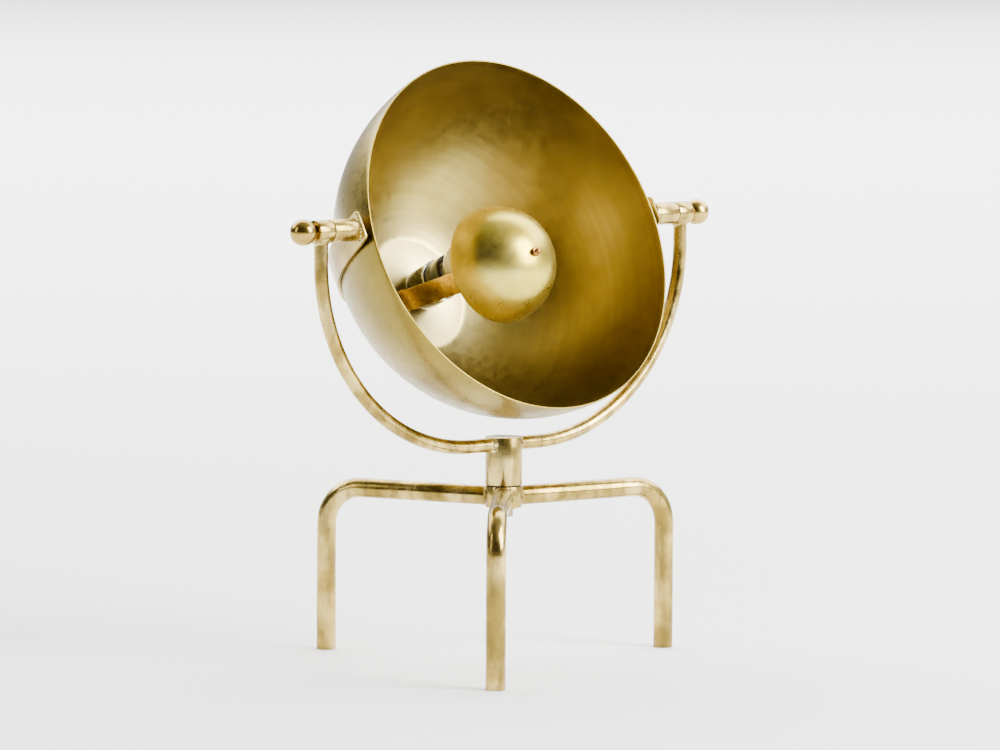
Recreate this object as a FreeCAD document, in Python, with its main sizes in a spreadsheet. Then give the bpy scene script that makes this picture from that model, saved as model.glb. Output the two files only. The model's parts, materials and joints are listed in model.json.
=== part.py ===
"""Dome shade desk lamp: a three-legged tube stand, a U-shaped tube yoke that swivels on it,
and a spun brass dome that tilts between two ball knobs, with a small bowl shield before the bulb.

Millimetres, +Z up. The origin is on the table under the swivel axis. At rest the yoke is
swivelled and the shade tilted as the lamp was photographed.
"""
import FreeCAD, Part
import math
import os
import re
import Sketcher
from FreeCAD import Placement, Rotation, Vector

# Driving sizes, in millimetres and degrees: one cell and one word each.
SIZES = {
    # stand
    "leg_tube": 19.0,             # outer diameter of the leg tube
    "leg_wall": 1.5,
    "leg_reach": 194.0,           # swivel axis to the middle of a foot
    "leg_height": 162.0,          # floor to the middle of the level part of a leg
    "leg_bend": 38.0,             # bend radius at the tube's middle line
    "front_leg_angle": -92.0,     # the legs are brazed on by hand, a little off 120 degrees
    "right_leg_angle": 35.0,
    "left_leg_angle": 154.0,
    "foot_plug_height": 12.0,
    "plug_gap": 0.1,              # plug to tube bore, on the radius
    # hub
    "collar_diameter": 36.0,
    "base_collar_height": 20.5,
    "collar_chamfer": 0.8,
    "swivel_bolt_diameter": 10.0,
    "swivel_bolt_depth": 32.0,    # thread inside the yoke's collar
    "tap_drill_depth": 2.5,       # blind bore beyond the bolt's end
    "bolt_head_width": 16.0,      # across flats
    "bolt_head_height": 6.4,
    "swivel_washer_diameter": 32.5,
    "swivel_washer_thickness": 1.2,
    "under_washer_diameter": 24.0,
    "under_washer_thickness": 1.8,
    "spring_washer_diameter": 19.0,
    "spring_washer_thickness": 1.0,
    "running_gap": 0.05,          # turning faces, shafts and bores
    "thread_gap": 0.05,           # screwed shank to its bore, on the radius
    # yoke
    "yoke_swivel_angle": 40.7,    # turn of the yoke about the upright axis at rest
    "yoke_tube": 13.5,
    "yoke_wall": 1.2,
    "yoke_above_legs": 51.0,      # level part of the legs to the yoke's level part
    "yoke_bend": 186.0,
    "yoke_rise": 216.0,           # yoke's level part to the pivot axis
    "collar_above_tube": 0.5,     # yoke collar's top above the tube's top
    "eye_diameter": 22.0,
    "eye_length": 18.0,
    # pivot
    "stud_diameter": 8.0,
    "stud_into_spacer": 20.0,
    "stud_into_knob": 11.0,
    "knob_diameter": 25.4,
    "knob_stand_off": 12.6,       # eye's outer face to the ball's middle
    "knob_seat_diameter": 12.0,
    "knob_bore_depth": 12.5,
    "pivot_washer_diameter": 20.0,
    "pivot_washer_thickness": 0.8,
    "spacer_diameter": 22.0,
    "spacer_length": 32.9,        # strap's outside to the washer, on the pivot axis
    # dome
    "shade_tilt_angle": 24.0,           # dome axis above level at rest
    "dome_radius": 180.0,         # outside of the spun dome
    "crown_flattening": 9.5,      # flat crown short of the full hemisphere
    "dome_wall": 1.2,
    "crown_bend": 15.0,           # round between the dome and its flat crown
    "rim_ahead": 15.4,            # rim plane in front of the pivot axis
    "axis_drop": 17.3,            # dome axis below the pivot axis
    # strap round the back of the dome
    "strap_width": 30.0,
    "strap_thickness": 3.0,
    "strap_gap": 0.4,             # strap to the round of the dome
    "strap_bend": 15.0,           # inside radius where the strap leaves the crown
    "strap_seat": 22.0,           # dome axis to the end of the flat seat on the crown
    "strap_lead": 26.0,           # length over which the strap turns out of that flat
    "strap_rake_angle": 15.0,     # inward slope of the straight ends
    "strap_ear": 13.0,            # strap end beyond the pivot axis
    "ear_corner": 5.0,
    # lampholder and its hollow rod
    "rod_diameter": 10.0,
    "rod_bore": 6.4,
    "rod_clearance": 0.15,        # rod to the holes it passes, on the radius
    "rod_behind": 15.0,           # rod's end behind the strap
    "rod_inside": 8.0,            # rod's end inside the lampholder
    "rod_nut_width": 14.0,
    "rod_nut_height": 5.0,
    "rod_washer_diameter": 22.0,
    "rod_washer_thickness": 1.5,
    "bushing_diameter": 15.0,
    "bushing_bore": 6.4,
    "bushing_lip": 2.5,
    "holder_diameter": 41.0,
    "holder_wall": 1.4,
    "holder_cap_height": 36.0,
    "holder_shoulder": 12.0,      # rounded base of the metal cap
    "holder_ring_height": 2.0,
    "holder_ring_proud": 0.7,
    "holder_skirt_height": 20.0,  # black part in front of the ring
    "holder_skirt_diameter": 39.0,
    "holder_seat": 14.0,          # cap base to the back of the black part
    "socket_bore": 28.8,
    "socket_floor": 8.0,
    "socket_sleeve_wall": 0.6,
    "socket_sleeve_length": 26.0,
    "insulator_height": 2.5,
    "contact_diameter": 8.0,
    "contact_height": 2.5,
    # bulb
    "bulb_cap_diameter": 26.2,
    "bulb_cap_length": 24.0,
    "bulb_tip_diameter": 9.0,
    "bulb_tip_height": 2.0,
    "bulb_diameter": 45.0,
    "bulb_length": 76.0,
    "bulb_wall": 1.0,
    "bulb_neck_diameter": 25.0,
    # bowl shield and its bracket
    "shield_radius": 57.8,
    "shield_wall": 1.2,
    "shield_reach": 126.5,        # crown's inside to the middle of the bowl
    "shield_droop_angle": 7.7,
    "bracket_width": 21.0,
    "bracket_thickness": 2.0,
    "bracket_offset": 31.0,       # dome axis to the outside of the long leg
    "bracket_turn_angle": 18.0,   # long leg below the level of the dome axis
    "bracket_foot_bend": 20.0,    # outside radius where the foot turns up
    "bracket_bend": 5.0,          # outside radius where the front plate turns in
    "bracket_tail": 14.0,         # foot beyond the hollow rod's middle
    "bracket_tip": 9.0,           # front plate beyond the screw's middle
    "bracket_into_bowl": 44.0,    # middle of the bowl to the front plate's face
    "screw_diameter": 5.0,
    "screw_head_diameter": 9.5,
    "screw_head_height": 3.0,
    "screw_proud": 5.0,           # thread beyond the nut
    "screw_nut_width": 8.0,
    "screw_nut_height": 4.0,
    "screw_spacer_diameter": 9.0,
    "screw_clearance": 0.1,
}

doc = FreeCAD.newDocument("DomeShadeLamp")
sheet = doc.addObject("Spreadsheet::Sheet", "Sizes")
for row, (word, number) in enumerate(SIZES.items(), start=1):
    sheet.set("A%d" % row, word)
    sheet.set("B%d" % row, str(number))
    sheet.setAlias("B%d" % row, word)
doc.recompute()

NODES = {}


# ---- helpers ---------------------------------------------------------------------------------

def formula(text):
    """Spell a size's word as the sheet's cell."""
    return re.sub(r"[a-z_]+", lambda m: "Sizes." + m[0] if m[0] in SIZES else m[0], text)


def value(text):
    return float(sheet.evalExpression(formula(text)))


def bind(item, **properties):
    """Tie properties of an object to formulas of the sheet's sizes."""
    for name, text in properties.items():
        item.setExpression(name, formula(text))


def node(item, name, place=None):
    """Name a finished sub-part, and put it in its place."""
    item.Label = name
    if place is not None:
        item.Placement = place
    NODES[name] = item
    return item


def sketch_on(body, plane, label):
    sketch = body.newObject("Sketcher::SketchObject", label)
    origin_plane = [f for f in body.Origin.OriginFeatures if f.Role == plane + "_Plane"][0]
    sketch.AttachmentSupport = [(origin_plane, "")]
    sketch.MapMode = "FlatFace"
    return sketch


def arc_between(start, end, radius):
    """The shorter arc from start to end. A positive radius turns left, a negative one right."""
    chord = end - start
    half = chord.Length / 2
    to_middle = math.sqrt(max(radius * radius - half * half, 0.0))
    left = Vector(-chord.y, chord.x, 0).normalize()
    middle = (start + end) / 2 + left * math.copysign(to_middle, radius)
    first, last = (start, end) if radius > 0 else (end, start)
    angles = [math.atan2(p.y - middle.y, p.x - middle.x) for p in (first, last)]
    return Part.ArcOfCircle(Part.Circle(middle, Vector(0, 0, 1), abs(radius)), *angles)


def outline(body, plane, corners, label="Outline", closed=True):
    """A sketch of lines and arcs through corners, each held by its two bound distances.

    A corner is (x, y) where a straight edge leaves it, or (x, y, radius) where an arc does.
    """
    sketch = sketch_on(body, plane, label)
    points = [Vector(value(c[0]), value(c[1]), 0) for c in corners]
    edges = len(corners) if closed else len(corners) - 1
    ends = []
    for i in range(edges):
        start, end = points[i], points[(i + 1) % len(points)]
        if len(corners[i]) == 3:
            radius = value(corners[i][2])
            sketch.addGeometry(arc_between(start, end, radius), False)
            ends.append((1, 2) if radius > 0 else (2, 1))
        else:
            sketch.addGeometry(Part.LineSegment(start, end), False)
            ends.append((1, 2))
    held = [(i, ends[i][0]) for i in range(edges)]
    if not closed:
        held.append((edges - 1, ends[-1][1]))
    for i in range(1, edges):
        sketch.addConstraint(Sketcher.Constraint("Coincident", i - 1, ends[i - 1][1], i, ends[i][0]))
    if closed:
        sketch.addConstraint(Sketcher.Constraint("Coincident", edges - 1, ends[-1][1], 0, ends[0][0]))
    for i, (edge, end) in enumerate(held):
        for axis, kind in enumerate(("DistanceX", "DistanceY")):
            number = sketch.addConstraint(
                Sketcher.Constraint(kind, -1, 1, edge, end, points[i][axis]))
            name = "xy"[axis] + str(i)
            sketch.renameConstraint(number, name)
            sketch.setExpression("Constraints." + name, formula(corners[i][axis]))
        if i < edges and len(corners[i]) == 3:
            number = sketch.addConstraint(
                Sketcher.Constraint("Radius", i, abs(value(corners[i][2]))))
            sketch.renameConstraint(number, "r%d" % i)
            sketch.setExpression("Constraints.r%d" % i, formula("abs(%s)" % corners[i][2]))
    return sketch


def circles(body, plane, centre, radii, label="Circles"):
    """Concentric circles round a bound centre."""
    sketch = sketch_on(body, plane, label)
    middle = Vector(value(centre[0]), value(centre[1]), 0)
    for i, radius in enumerate(radii):
        sketch.addGeometry(Part.Circle(middle, Vector(0, 0, 1), value(radius)), False)
        bounds = (("x", "DistanceX", centre[0], middle.x), ("y", "DistanceY", centre[1], middle.y))
        for letter, kind, text, number in bounds:
            held = sketch.addConstraint(Sketcher.Constraint(kind, -1, 1, i, 3, number))
            sketch.renameConstraint(held, letter + str(i))
            sketch.setExpression("Constraints.%s%d" % (letter, i), formula(text))
        held = sketch.addConstraint(Sketcher.Constraint("Radius", i, value(radius)))
        sketch.renameConstraint(held, "r%d" % i)
        sketch.setExpression("Constraints.r%d" % i, formula(radius))
    return sketch


def turned(name, corners, place=None):
    """A lathe-turned piece: its half section, as (radius, height), spun about local Z."""
    body = doc.addObject("PartDesign::Body", name)
    section = outline(body, "XZ", corners, "HalfSection")
    spin = body.newObject("PartDesign::Revolution", "Turning")
    spin.Profile = section
    spin.ReferenceAxis = (section, ["V_Axis"])
    spin.Angle = 360
    return node(body, name, place)


def ring(name, bore, diameter, height, place):
    """A plain washer or sleeve on local Z, from 0 up to its height."""
    inside, outside = "(%s) / 2" % bore, "(%s) / 2" % diameter
    return turned(name, [(inside, "0"), (outside, "0"), (outside, height), (inside, height)], place)


def bent_tube(name, path, start, tube, wall, start_height):
    """A tube swept along a path in local XZ; its section is level, at start_height."""
    body = doc.addObject("PartDesign::Body", name)
    spine = outline(body, "XZ", path, "Path", closed=False)
    section = circles(body, "XY", (start, "0"), (tube + " / 2", "%s / 2 - %s" % (tube, wall)), "Section")
    section.setExpression("AttachmentOffset.Base.z", formula(start_height))
    sweep = body.newObject("PartDesign::AdditivePipe", "BentTube")
    sweep.Profile = section
    sweep.Spine = (spine, ["Edge%d" % (i + 1) for i in range(len(path) - 1)])
    return body


def cope(body, plane, centre, diameter, label):
    """Cut a tube's end to the round it is brazed to."""
    cutter = circles(body, plane, centre, (diameter + " / 2",), label + "Circle")
    cut = body.newObject("PartDesign::Pocket", label)
    cut.Profile = cutter
    cut.SideType = "Symmetric"
    cut.Type = "Length"
    cut.setExpression("Length", formula("2 * %s + 2 * %s" % (YOKE_HALF_SPAN, PIVOT_HEIGHT)))
    body.Tip = cut


def hexagon(name, width, height, base):
    """A hexagonal bar, width across flats, standing on base along local Z."""
    bar = doc.addObject("Part::Prism", name)
    bar.Polygon = 6
    bind(bar, Circumradius="(%s) / sqrt(3)" % width, Height=height)
    bar.setExpression("Placement.Base.z", formula(base))
    return bar


def rod(name, diameter, height, base):
    bar = doc.addObject("Part::Cylinder", name)
    bind(bar, Radius="(%s) / 2" % diameter, Height=height)
    bar.setExpression("Placement.Base.z", formula(base))
    return bar


def joined(name, first, second, place=None):
    fuse = doc.addObject("Part::Fuse", name)
    fuse.Base = first
    fuse.Tool = second
    return node(fuse, name, place)


def holed(name, solid, tool, place=None):
    cut = doc.addObject("Part::Cut", name)
    cut.Base = solid
    cut.Tool = tool
    return node(cut, name, place)


def hex_nut(name, width, height, bore, place):
    blank = hexagon(name + "_blank", width, height, "0")
    hole = rod(name + "_thread", bore, height, "0")
    return holed(name, blank, hole, place)


def group(name, items):
    bundle = doc.addObject("Part::Compound", name)
    bundle.Links = items
    return node(bundle, name)


# ---- places worked out from the sizes --------------------------------------------------------

YOKE_LOW = "(leg_height + yoke_above_legs)"
PIVOT_HEIGHT = "(leg_height + yoke_above_legs + yoke_rise)"
DOME_DEPTH = "(dome_radius - crown_flattening)"
CROWN_INSIDE = "(dome_wall - %s)" % DOME_DEPTH
RAKE_SIN, RAKE_COS = "sin(strap_rake_angle * 1deg)", "cos(strap_rake_angle * 1deg)"
# The arms of the strap lie in one plane through the pivot axis, which leans to the dome's axis.
# It starts so far behind the crown that the leaning arms clear it over their whole width.
FIRST_LEAN = "atan(axis_drop / (%s - rim_ahead))" % DOME_DEPTH
STAND_BACK = "(strap_width / 2 * sin(%s))" % FIRST_LEAN
STRAP_START = "(%s + %s)" % (DOME_DEPTH, STAND_BACK)
STRAP_LEAN = "atan(axis_drop / (%s - rim_ahead))" % STRAP_START
# In that plane: radius of the round arm, height of its centre and of the pivot axis.
STRAP_RADIUS = "(dome_radius + strap_gap)"
ARM_CENTRE = "(%s * cos(%s))" % (STRAP_START, STRAP_LEAN)
AT_PIVOT_Z = "((%s - rim_ahead) / cos(%s))" % (STRAP_START, STRAP_LEAN)
RAKE_RUN = "((%s - %s + %s * %s) / %s)" % (AT_PIVOT_Z, ARM_CENTRE, STRAP_RADIUS, RAKE_SIN, RAKE_COS)
STRAP_AT_PIVOT = "(%s * %s + %s * %s)" % (STRAP_RADIUS, RAKE_COS, RAKE_RUN, RAKE_SIN)
# Along the pivot axis, from the middle of the lamp outwards.
SPACER_INSIDE = "(%s + strap_thickness / %s)" % (STRAP_AT_PIVOT, RAKE_COS)
SPACER_OUTSIDE = "(%s + spacer_length)" % SPACER_INSIDE
YOKE_HALF_SPAN = "(%s + pivot_washer_thickness + running_gap + eye_length / 2)" % SPACER_OUTSIDE
EYE_OUTSIDE = "(%s + eye_length / 2)" % YOKE_HALF_SPAN
# Up the swivel axis.
BASE_COLLAR_LOW = "(leg_height - base_collar_height / 2)"
YOKE_COLLAR_LOW = "(leg_height + base_collar_height / 2 + swivel_washer_thickness + running_gap)"
YOKE_COLLAR_HEIGHT = "(%s + yoke_tube / 2 + collar_above_tube - %s)" % (YOKE_LOW, YOKE_COLLAR_LOW)
BOLT_BORE = "swivel_bolt_diameter + 2 * running_gap"

# ---- frames ----------------------------------------------------------------------------------

X_AXIS, Y_AXIS, Z_AXIS = Vector(1, 0, 0), Vector(0, 1, 0), Vector(0, 0, 1)


def up_to(text):
    """A place on the swivel axis at a height."""
    return Placement(Vector(0, 0, value(text)), Rotation())


# The yoke's frame: X along the pivot axis, origin on the floor.
yoke_frame = Placement(Vector(), Rotation(Z_AXIS, value("yoke_swivel_angle")))
# The shade's frame: origin in the middle of the pivot axis, dome axis along -Y.
shade_frame = Placement(Vector(0, 0, value(PIVOT_HEIGHT)),
                        yoke_frame.Rotation * Rotation(X_AXIS, -value("shade_tilt_angle")))
# The dome's frame: origin in the middle of the rim, Z out of the opening, X along the pivot axis.
dome_frame = shade_frame * Placement(Vector(0, -value("rim_ahead"), -value("axis_drop")),
                                     Rotation(X_AXIS, 90))
# The shield's frame: origin on the crown's inside, Z towards the middle of the bowl shield.
shield_frame = dome_frame * Placement(Vector(0, 0, value(CROWN_INSIDE)),
                                      Rotation(X_AXIS, value("shield_droop_angle")))


def in_dome(height):
    return dome_frame * Placement(Vector(0, 0, value(height)), Rotation())


def in_shield(height):
    return shield_frame * Placement(Vector(0, 0, value(height)), Rotation())


def on_pivot(side, distance, frame):
    """Local Z pointing outwards along the pivot axis; frame's X is that axis."""
    drop = 0 if frame is shade_frame else value(PIVOT_HEIGHT)
    return frame * Placement(Vector(side * value(distance), 0, drop), Rotation(Y_AXIS, 90 * side))


SIDES = (("left", -1), ("right", 1))

# ---- stand -----------------------------------------------------------------------------------

def make_stand():
    edge = "collar_diameter / 2"
    turned("base_collar", [
        ("(%s) / 2" % BOLT_BORE, "0"),
        (edge + " - collar_chamfer", "0"),
        (edge, "collar_chamfer"),
        (edge, "base_collar_height"),
        ("(%s) / 2" % BOLT_BORE, "base_collar_height"),
    ], up_to(BASE_COLLAR_LOW))
    ring("swivel_washer", BOLT_BORE, "swivel_washer_diameter", "swivel_washer_thickness",
         up_to("leg_height + base_collar_height / 2"))
    plugs = []
    for side in ("front", "right", "left"):
        turn = Placement(Vector(), Rotation(Z_AXIS, value(side + "_leg_angle")))
        leg = bent_tube("leg_" + side, [
            ("leg_reach", "0"),
            ("leg_reach", "leg_height - leg_bend", "leg_bend"),
            ("leg_reach - leg_bend", "leg_height"),
            ("collar_diameter / 4", "leg_height"),
        ], "leg_reach", "leg_tube", "leg_wall", "0")
        cope(leg, "XY", ("0", "0"), "collar_diameter", "CollarCope")
        node(leg, "leg_" + side, turn)
        plug = rod("plug_" + side, "leg_tube - 2 * leg_wall - 2 * plug_gap", "foot_plug_height", "0")
        plug.Placement = turn * Placement(Vector(value("leg_reach"), 0, 0), Rotation())
        plugs.append(plug)
    group("foot_plugs", plugs)


# ---- yoke ------------------------------------------------------------------------------------

def make_swivel():
    edge = "collar_diameter / 2"
    bore = "swivel_bolt_diameter / 2 + thread_gap"
    blind = "swivel_bolt_depth + tap_drill_depth"
    turned("yoke_collar", [
        (bore, "0"),
        (edge, "0"),
        (edge, YOKE_COLLAR_HEIGHT + " - collar_chamfer"),
        (edge + " - collar_chamfer", YOKE_COLLAR_HEIGHT),
        ("0", YOKE_COLLAR_HEIGHT),
        ("0", blind + " + swivel_bolt_diameter / 4"),
        (bore, blind),
    ], up_to(YOKE_COLLAR_LOW))
    washers_low = "%s - running_gap - under_washer_thickness" % BASE_COLLAR_LOW
    ring("under_washer", BOLT_BORE, "under_washer_diameter", "under_washer_thickness",
         up_to(washers_low))
    ring("spring_washer", BOLT_BORE, "spring_washer_diameter", "spring_washer_thickness",
         up_to(washers_low + " - spring_washer_thickness"))
    head_top = "%s - spring_washer_thickness" % washers_low
    head = hexagon("bolt_head", "bolt_head_width", "bolt_head_height", "-bolt_head_height")
    shank = rod("bolt_shank", "swivel_bolt_diameter",
                "%s - (%s) + swivel_bolt_depth" % (YOKE_COLLAR_LOW, head_top), "0")
    joined("swivel_bolt", head, shank, up_to(head_top))


def make_yoke():
    for name, side in SIDES:
        arm = bent_tube("yoke_arm_" + name, [
            (YOKE_HALF_SPAN, PIVOT_HEIGHT),
            (YOKE_HALF_SPAN, YOKE_LOW + " + yoke_bend", "-yoke_bend"),
            (YOKE_HALF_SPAN + " - yoke_bend", YOKE_LOW),
            ("collar_diameter / 4", YOKE_LOW),
        ], YOKE_HALF_SPAN, "yoke_tube", "yoke_wall", PIVOT_HEIGHT)
        cope(arm, "XY", ("0", "0"), "collar_diameter", "CollarCope")
        cope(arm, "YZ", ("0", PIVOT_HEIGHT), "eye_diameter", "EyeCope")
        half_turn = Placement(Vector(), Rotation(Z_AXIS, 0 if side > 0 else 180))
        node(arm, "yoke_arm_" + name, yoke_frame * half_turn)
        ring("yoke_eye_" + name, "stud_diameter + 2 * running_gap", "eye_diameter", "eye_length",
             on_pivot(side, YOKE_HALF_SPAN + " - eye_length / 2", yoke_frame))


# ---- pivots ----------------------------------------------------------------------------------

def strap_plane():
    """The arms' frame in the dome's frame: X along the pivot axis, Z towards it."""
    return Placement(Vector(0, 0, -value(STRAP_START)),
                     Rotation(X_AXIS, -math.degrees(value(STRAP_LEAN + " / 1rad"))))


def raked(distance, outwards):
    """A point of the strap's sloping end: so far along it, and so far outside its inner face."""
    reach = "(%s + %s)" % (STRAP_RADIUS, outwards)
    return ("%s * %s + (%s) * %s" % (reach, RAKE_COS, distance, RAKE_SIN),
            "%s - %s * %s + (%s) * %s" % (ARM_CENTRE, reach, RAKE_SIN, distance, RAKE_COS))


def strap_knee(outwards):
    """Where the bend at the crown ends on the round of the arm, outside the inner face."""
    knee_x = "sqrt((%s - strap_bend)^2 - (%s - strap_bend)^2)" % (STRAP_RADIUS, ARM_CENTRE)
    grow = "(%s + %s) / (%s - strap_bend)" % (STRAP_RADIUS, outwards, STRAP_RADIUS)
    return knee_x, "%s * %s" % (knee_x, grow), "%s - (%s - strap_bend) * %s" % (ARM_CENTRE, ARM_CENTRE, grow)


def strap_arm(name):
    """One arm of the strap: level start, bend, round beside the dome, straight sloping end."""
    body = doc.addObject("PartDesign::Body", "strap_arm_" + name)
    start, end = "strap_seat + strap_lead", RAKE_RUN + " + strap_ear"
    knee_x, inner_x, inner_z = strap_knee("0")
    outer_x, outer_z = strap_knee("strap_thickness")[1:]
    section = outline(body, "XZ", [
        (start, "0"),
        (knee_x, "0", "strap_bend"),
        (inner_x, inner_z, STRAP_RADIUS),
        raked("0", "0"),
        raked(end, "0"),
        raked(end, "strap_thickness"),
        raked("0", "strap_thickness") + ("-(%s + strap_thickness)" % STRAP_RADIUS,),
        (outer_x, outer_z, "-(strap_bend + strap_thickness)"),
        (knee_x, "-strap_thickness"),
        (start, "-strap_thickness"),
    ], "Edge")
    plate = body.newObject("PartDesign::Pad", "Bar")
    plate.Profile = section
    plate.SideType = "Symmetric"
    bind(plate, Length="strap_width")
    doc.recompute()
    tip = Vector(*[value(t) for t in (raked(end, "strap_thickness / 2")[0], "0",
                                      raked(end, "strap_thickness / 2")[1])])
    corners = []
    for i, edge in enumerate(plate.Shape.Edges, start=1):
        middle = edge.CenterOfMass
        near_end = (middle - tip).Length < value("strap_width / 2 + strap_thickness")
        if near_end and abs(abs(middle.y) - value("strap_width / 2")) < 1e-6:
            if abs(edge.Length - value("strap_thickness")) < 1e-6:
                corners.append("Edge%d" % i)
    rounding = body.newObject("PartDesign::Fillet", "EarCorners")
    rounding.Base = (plate, corners)
    bind(rounding, Radius="ear_corner")
    return body


def strap_section(name, place, x):
    """The strap's cross-section at a distance along it, its inner face at height 0."""
    section = doc.addObject("Part::Plane", name)
    bind(section, Length="strap_thickness", Width="strap_width")
    corner = Vector(x, -value("strap_width / 2"), -value("strap_thickness"))
    section.Placement = place * Placement(corner, Rotation(Y_AXIS, -90))
    return section


def make_strap():
    """A bar seated flat on the crown, twisted each side into the plane of its arms."""
    crown = Placement(Vector(0, 0, -value(DOME_DEPTH)), Rotation())
    seat = doc.addObject("Part::Box", "strap_seat_plate")
    bind(seat, Length="2 * strap_seat", Width="strap_width", Height="strap_thickness")
    seat.Placement = crown * Placement(
        Vector(*[-value(t) for t in ("strap_seat", "strap_width / 2", "strap_thickness")]), Rotation())
    pieces = [seat]
    for name, side in SIDES:
        arm = strap_arm(name)
        arm.Placement = strap_plane() * Placement(Vector(), Rotation(Z_AXIS, 0 if side > 0 else 180))
        ends = [strap_section("seat_end_" + name, crown, side * value("strap_seat")),
                strap_section("arm_start_" + name, strap_plane(), side * value("strap_seat + strap_lead"))]
        twist = doc.addObject("Part::Loft", "strap_twist_" + name)
        twist.Sections = ends
        twist.Solid = True
        twist.Ruled = True
        pieces += [arm, twist]
    bar = doc.addObject("Part::MultiFuse", "strap_bar")
    bar.Shapes = pieces
    bar.Refine = True
    hole = rod("strap_hole", "rod_diameter + 2 * rod_clearance", "4 * strap_thickness",
               "-%s - 2 * strap_thickness" % DOME_DEPTH)
    holed("back_strap", bar, hole, dome_frame)


def make_pivots():
    washers = []
    for name, side in SIDES:
        outer = on_pivot(side, SPACER_OUTSIDE, shade_frame)
        washer = ring("pivot_washer_" + name, "stud_diameter + 2 * thread_gap",
                      "pivot_washer_diameter", "pivot_washer_thickness", outer)
        NODES.pop("pivot_washer_" + name)
        washers.append(washer)
        # The spacer runs inwards to the strap, and its inner end is cut to the strap's slope.
        sleeve = ring("spacer_blank_" + name, "stud_diameter + 2 * thread_gap", "spacer_diameter",
                      "%s - %s + spacer_diameter / 2" % (SPACER_OUTSIDE, STRAP_AT_PIVOT),
                      on_pivot(side, STRAP_AT_PIVOT + " - spacer_diameter / 2", shade_frame))
        NODES.pop("spacer_blank_" + name)
        block = doc.addObject("Part::Box", "slope_" + name)
        bind(block, Length="4 * spacer_diameter", Width="4 * spacer_diameter",
             Height="4 * spacer_diameter")
        face = raked(RAKE_RUN, "strap_thickness")
        turn = Rotation(Z_AXIS, 0 if side > 0 else 180)
        rake = Rotation(Y_AXIS, value("strap_rake_angle"))
        back = Vector(-value("4 * spacer_diameter"), *[-value("2 * spacer_diameter")] * 2)
        block.Placement = dome_frame * strap_plane() * Placement(Vector(), turn) \
            * Placement(Vector(value(face[0]), 0, value(face[1])), rake) * Placement(back, Rotation())
        holed("spacer_" + name, sleeve, block)
        stud_low = "%s - stud_into_spacer" % SPACER_OUTSIDE
        stud = rod("pivot_stud_" + name, "stud_diameter",
                   "%s + running_gap + stud_into_knob - (%s)" % (EYE_OUTSIDE, stud_low), "0")
        stud.setExpression("Placement.Base.z", None)
        node(stud, "pivot_stud_" + name, on_pivot(side, stud_low, shade_frame))
        make_knob(name, side)
    group("pivot_washers", washers)


def make_knob(name, side):
    """A turned brass ball on a small flat seat, tapped to screw on to the stud."""
    bore = "stud_diameter / 2 + thread_gap"
    seat_rise = "knob_stand_off - sqrt((knob_diameter / 2)^2 - (knob_seat_diameter / 2)^2)"
    turned("knob_" + name, [
        (bore, "0"),
        ("knob_seat_diameter / 2", "0"),
        ("knob_seat_diameter / 2", seat_rise, "knob_diameter / 2"),
        ("0", "knob_stand_off + knob_diameter / 2"),
        ("0", "knob_bore_depth"),
        (bore, "knob_bore_depth"),
    ], on_pivot(side, EYE_OUTSIDE + " + running_gap", shade_frame))


# ---- dome ------------------------------------------------------------------------------------

def make_dome():
    """Spun hemisphere with a flat crown; the two rounds of the crown share their centre."""
    crown = "sqrt((dome_radius - crown_bend)^2 - (%s - crown_bend)^2)" % DOME_DEPTH
    grow = "(dome_radius - %s) / (dome_radius - crown_bend)"
    outer, inner = grow % "0", grow % "dome_wall"
    hole = "rod_diameter / 2 + rod_clearance"
    turned("shade_dome", [
        ("dome_radius", "0", "-dome_radius"),
        ("%s * %s" % (crown, outer), "-(%s - crown_bend) * %s" % (DOME_DEPTH, outer), "-crown_bend"),
        (crown, "-" + DOME_DEPTH),
        (hole, "-" + DOME_DEPTH),
        (hole, CROWN_INSIDE),
        (crown, CROWN_INSIDE, "crown_bend - dome_wall"),
        ("%s * %s" % (crown, inner), "-(%s - crown_bend) * %s" % (DOME_DEPTH, inner),
         "dome_radius - dome_wall"),
        ("dome_radius - dome_wall", "0"),
    ], dome_frame)


# ---- lampholder, hollow rod and bulb ---------------------------------------------------------

STRAP_BACK = "(-%s - strap_thickness)" % DOME_DEPTH
HOLDER_BASE = "(%s + bracket_thickness)" % CROWN_INSIDE
SKIRT_FRONT = "(holder_cap_height + holder_ring_height + holder_skirt_height)"


def make_rod():
    passing = "rod_diameter + 2 * rod_clearance"
    ring("cord_rod", "rod_bore", "rod_diameter",
         "%s + rod_inside - %s + rod_behind" % (HOLDER_BASE, STRAP_BACK),
         in_dome(STRAP_BACK + " - rod_behind"))
    ring("rod_washer", passing, "rod_washer_diameter", "rod_washer_thickness",
         in_dome(STRAP_BACK + " - rod_washer_thickness"))
    hex_nut("rod_nut", "rod_nut_width", "rod_nut_height", "rod_diameter + 2 * thread_gap",
            in_dome(STRAP_BACK + " - rod_washer_thickness - rod_nut_height"))
    sleeve = "rod_behind - rod_washer_thickness - rod_nut_height - rod_clearance"
    turned("cord_bushing", [
        ("bushing_bore / 2", "-bushing_lip"),
        ("bushing_diameter / 2 - bushing_lip / 2", "-bushing_lip"),
        ("bushing_diameter / 2", "-bushing_lip / 2"),
        ("bushing_diameter / 2", sleeve),
        ("rod_diameter / 2 + thread_gap", sleeve),
        ("rod_diameter / 2 + thread_gap", "0"),
        ("bushing_bore / 2", "0"),
    ], in_dome(STRAP_BACK + " - rod_behind"))


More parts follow.
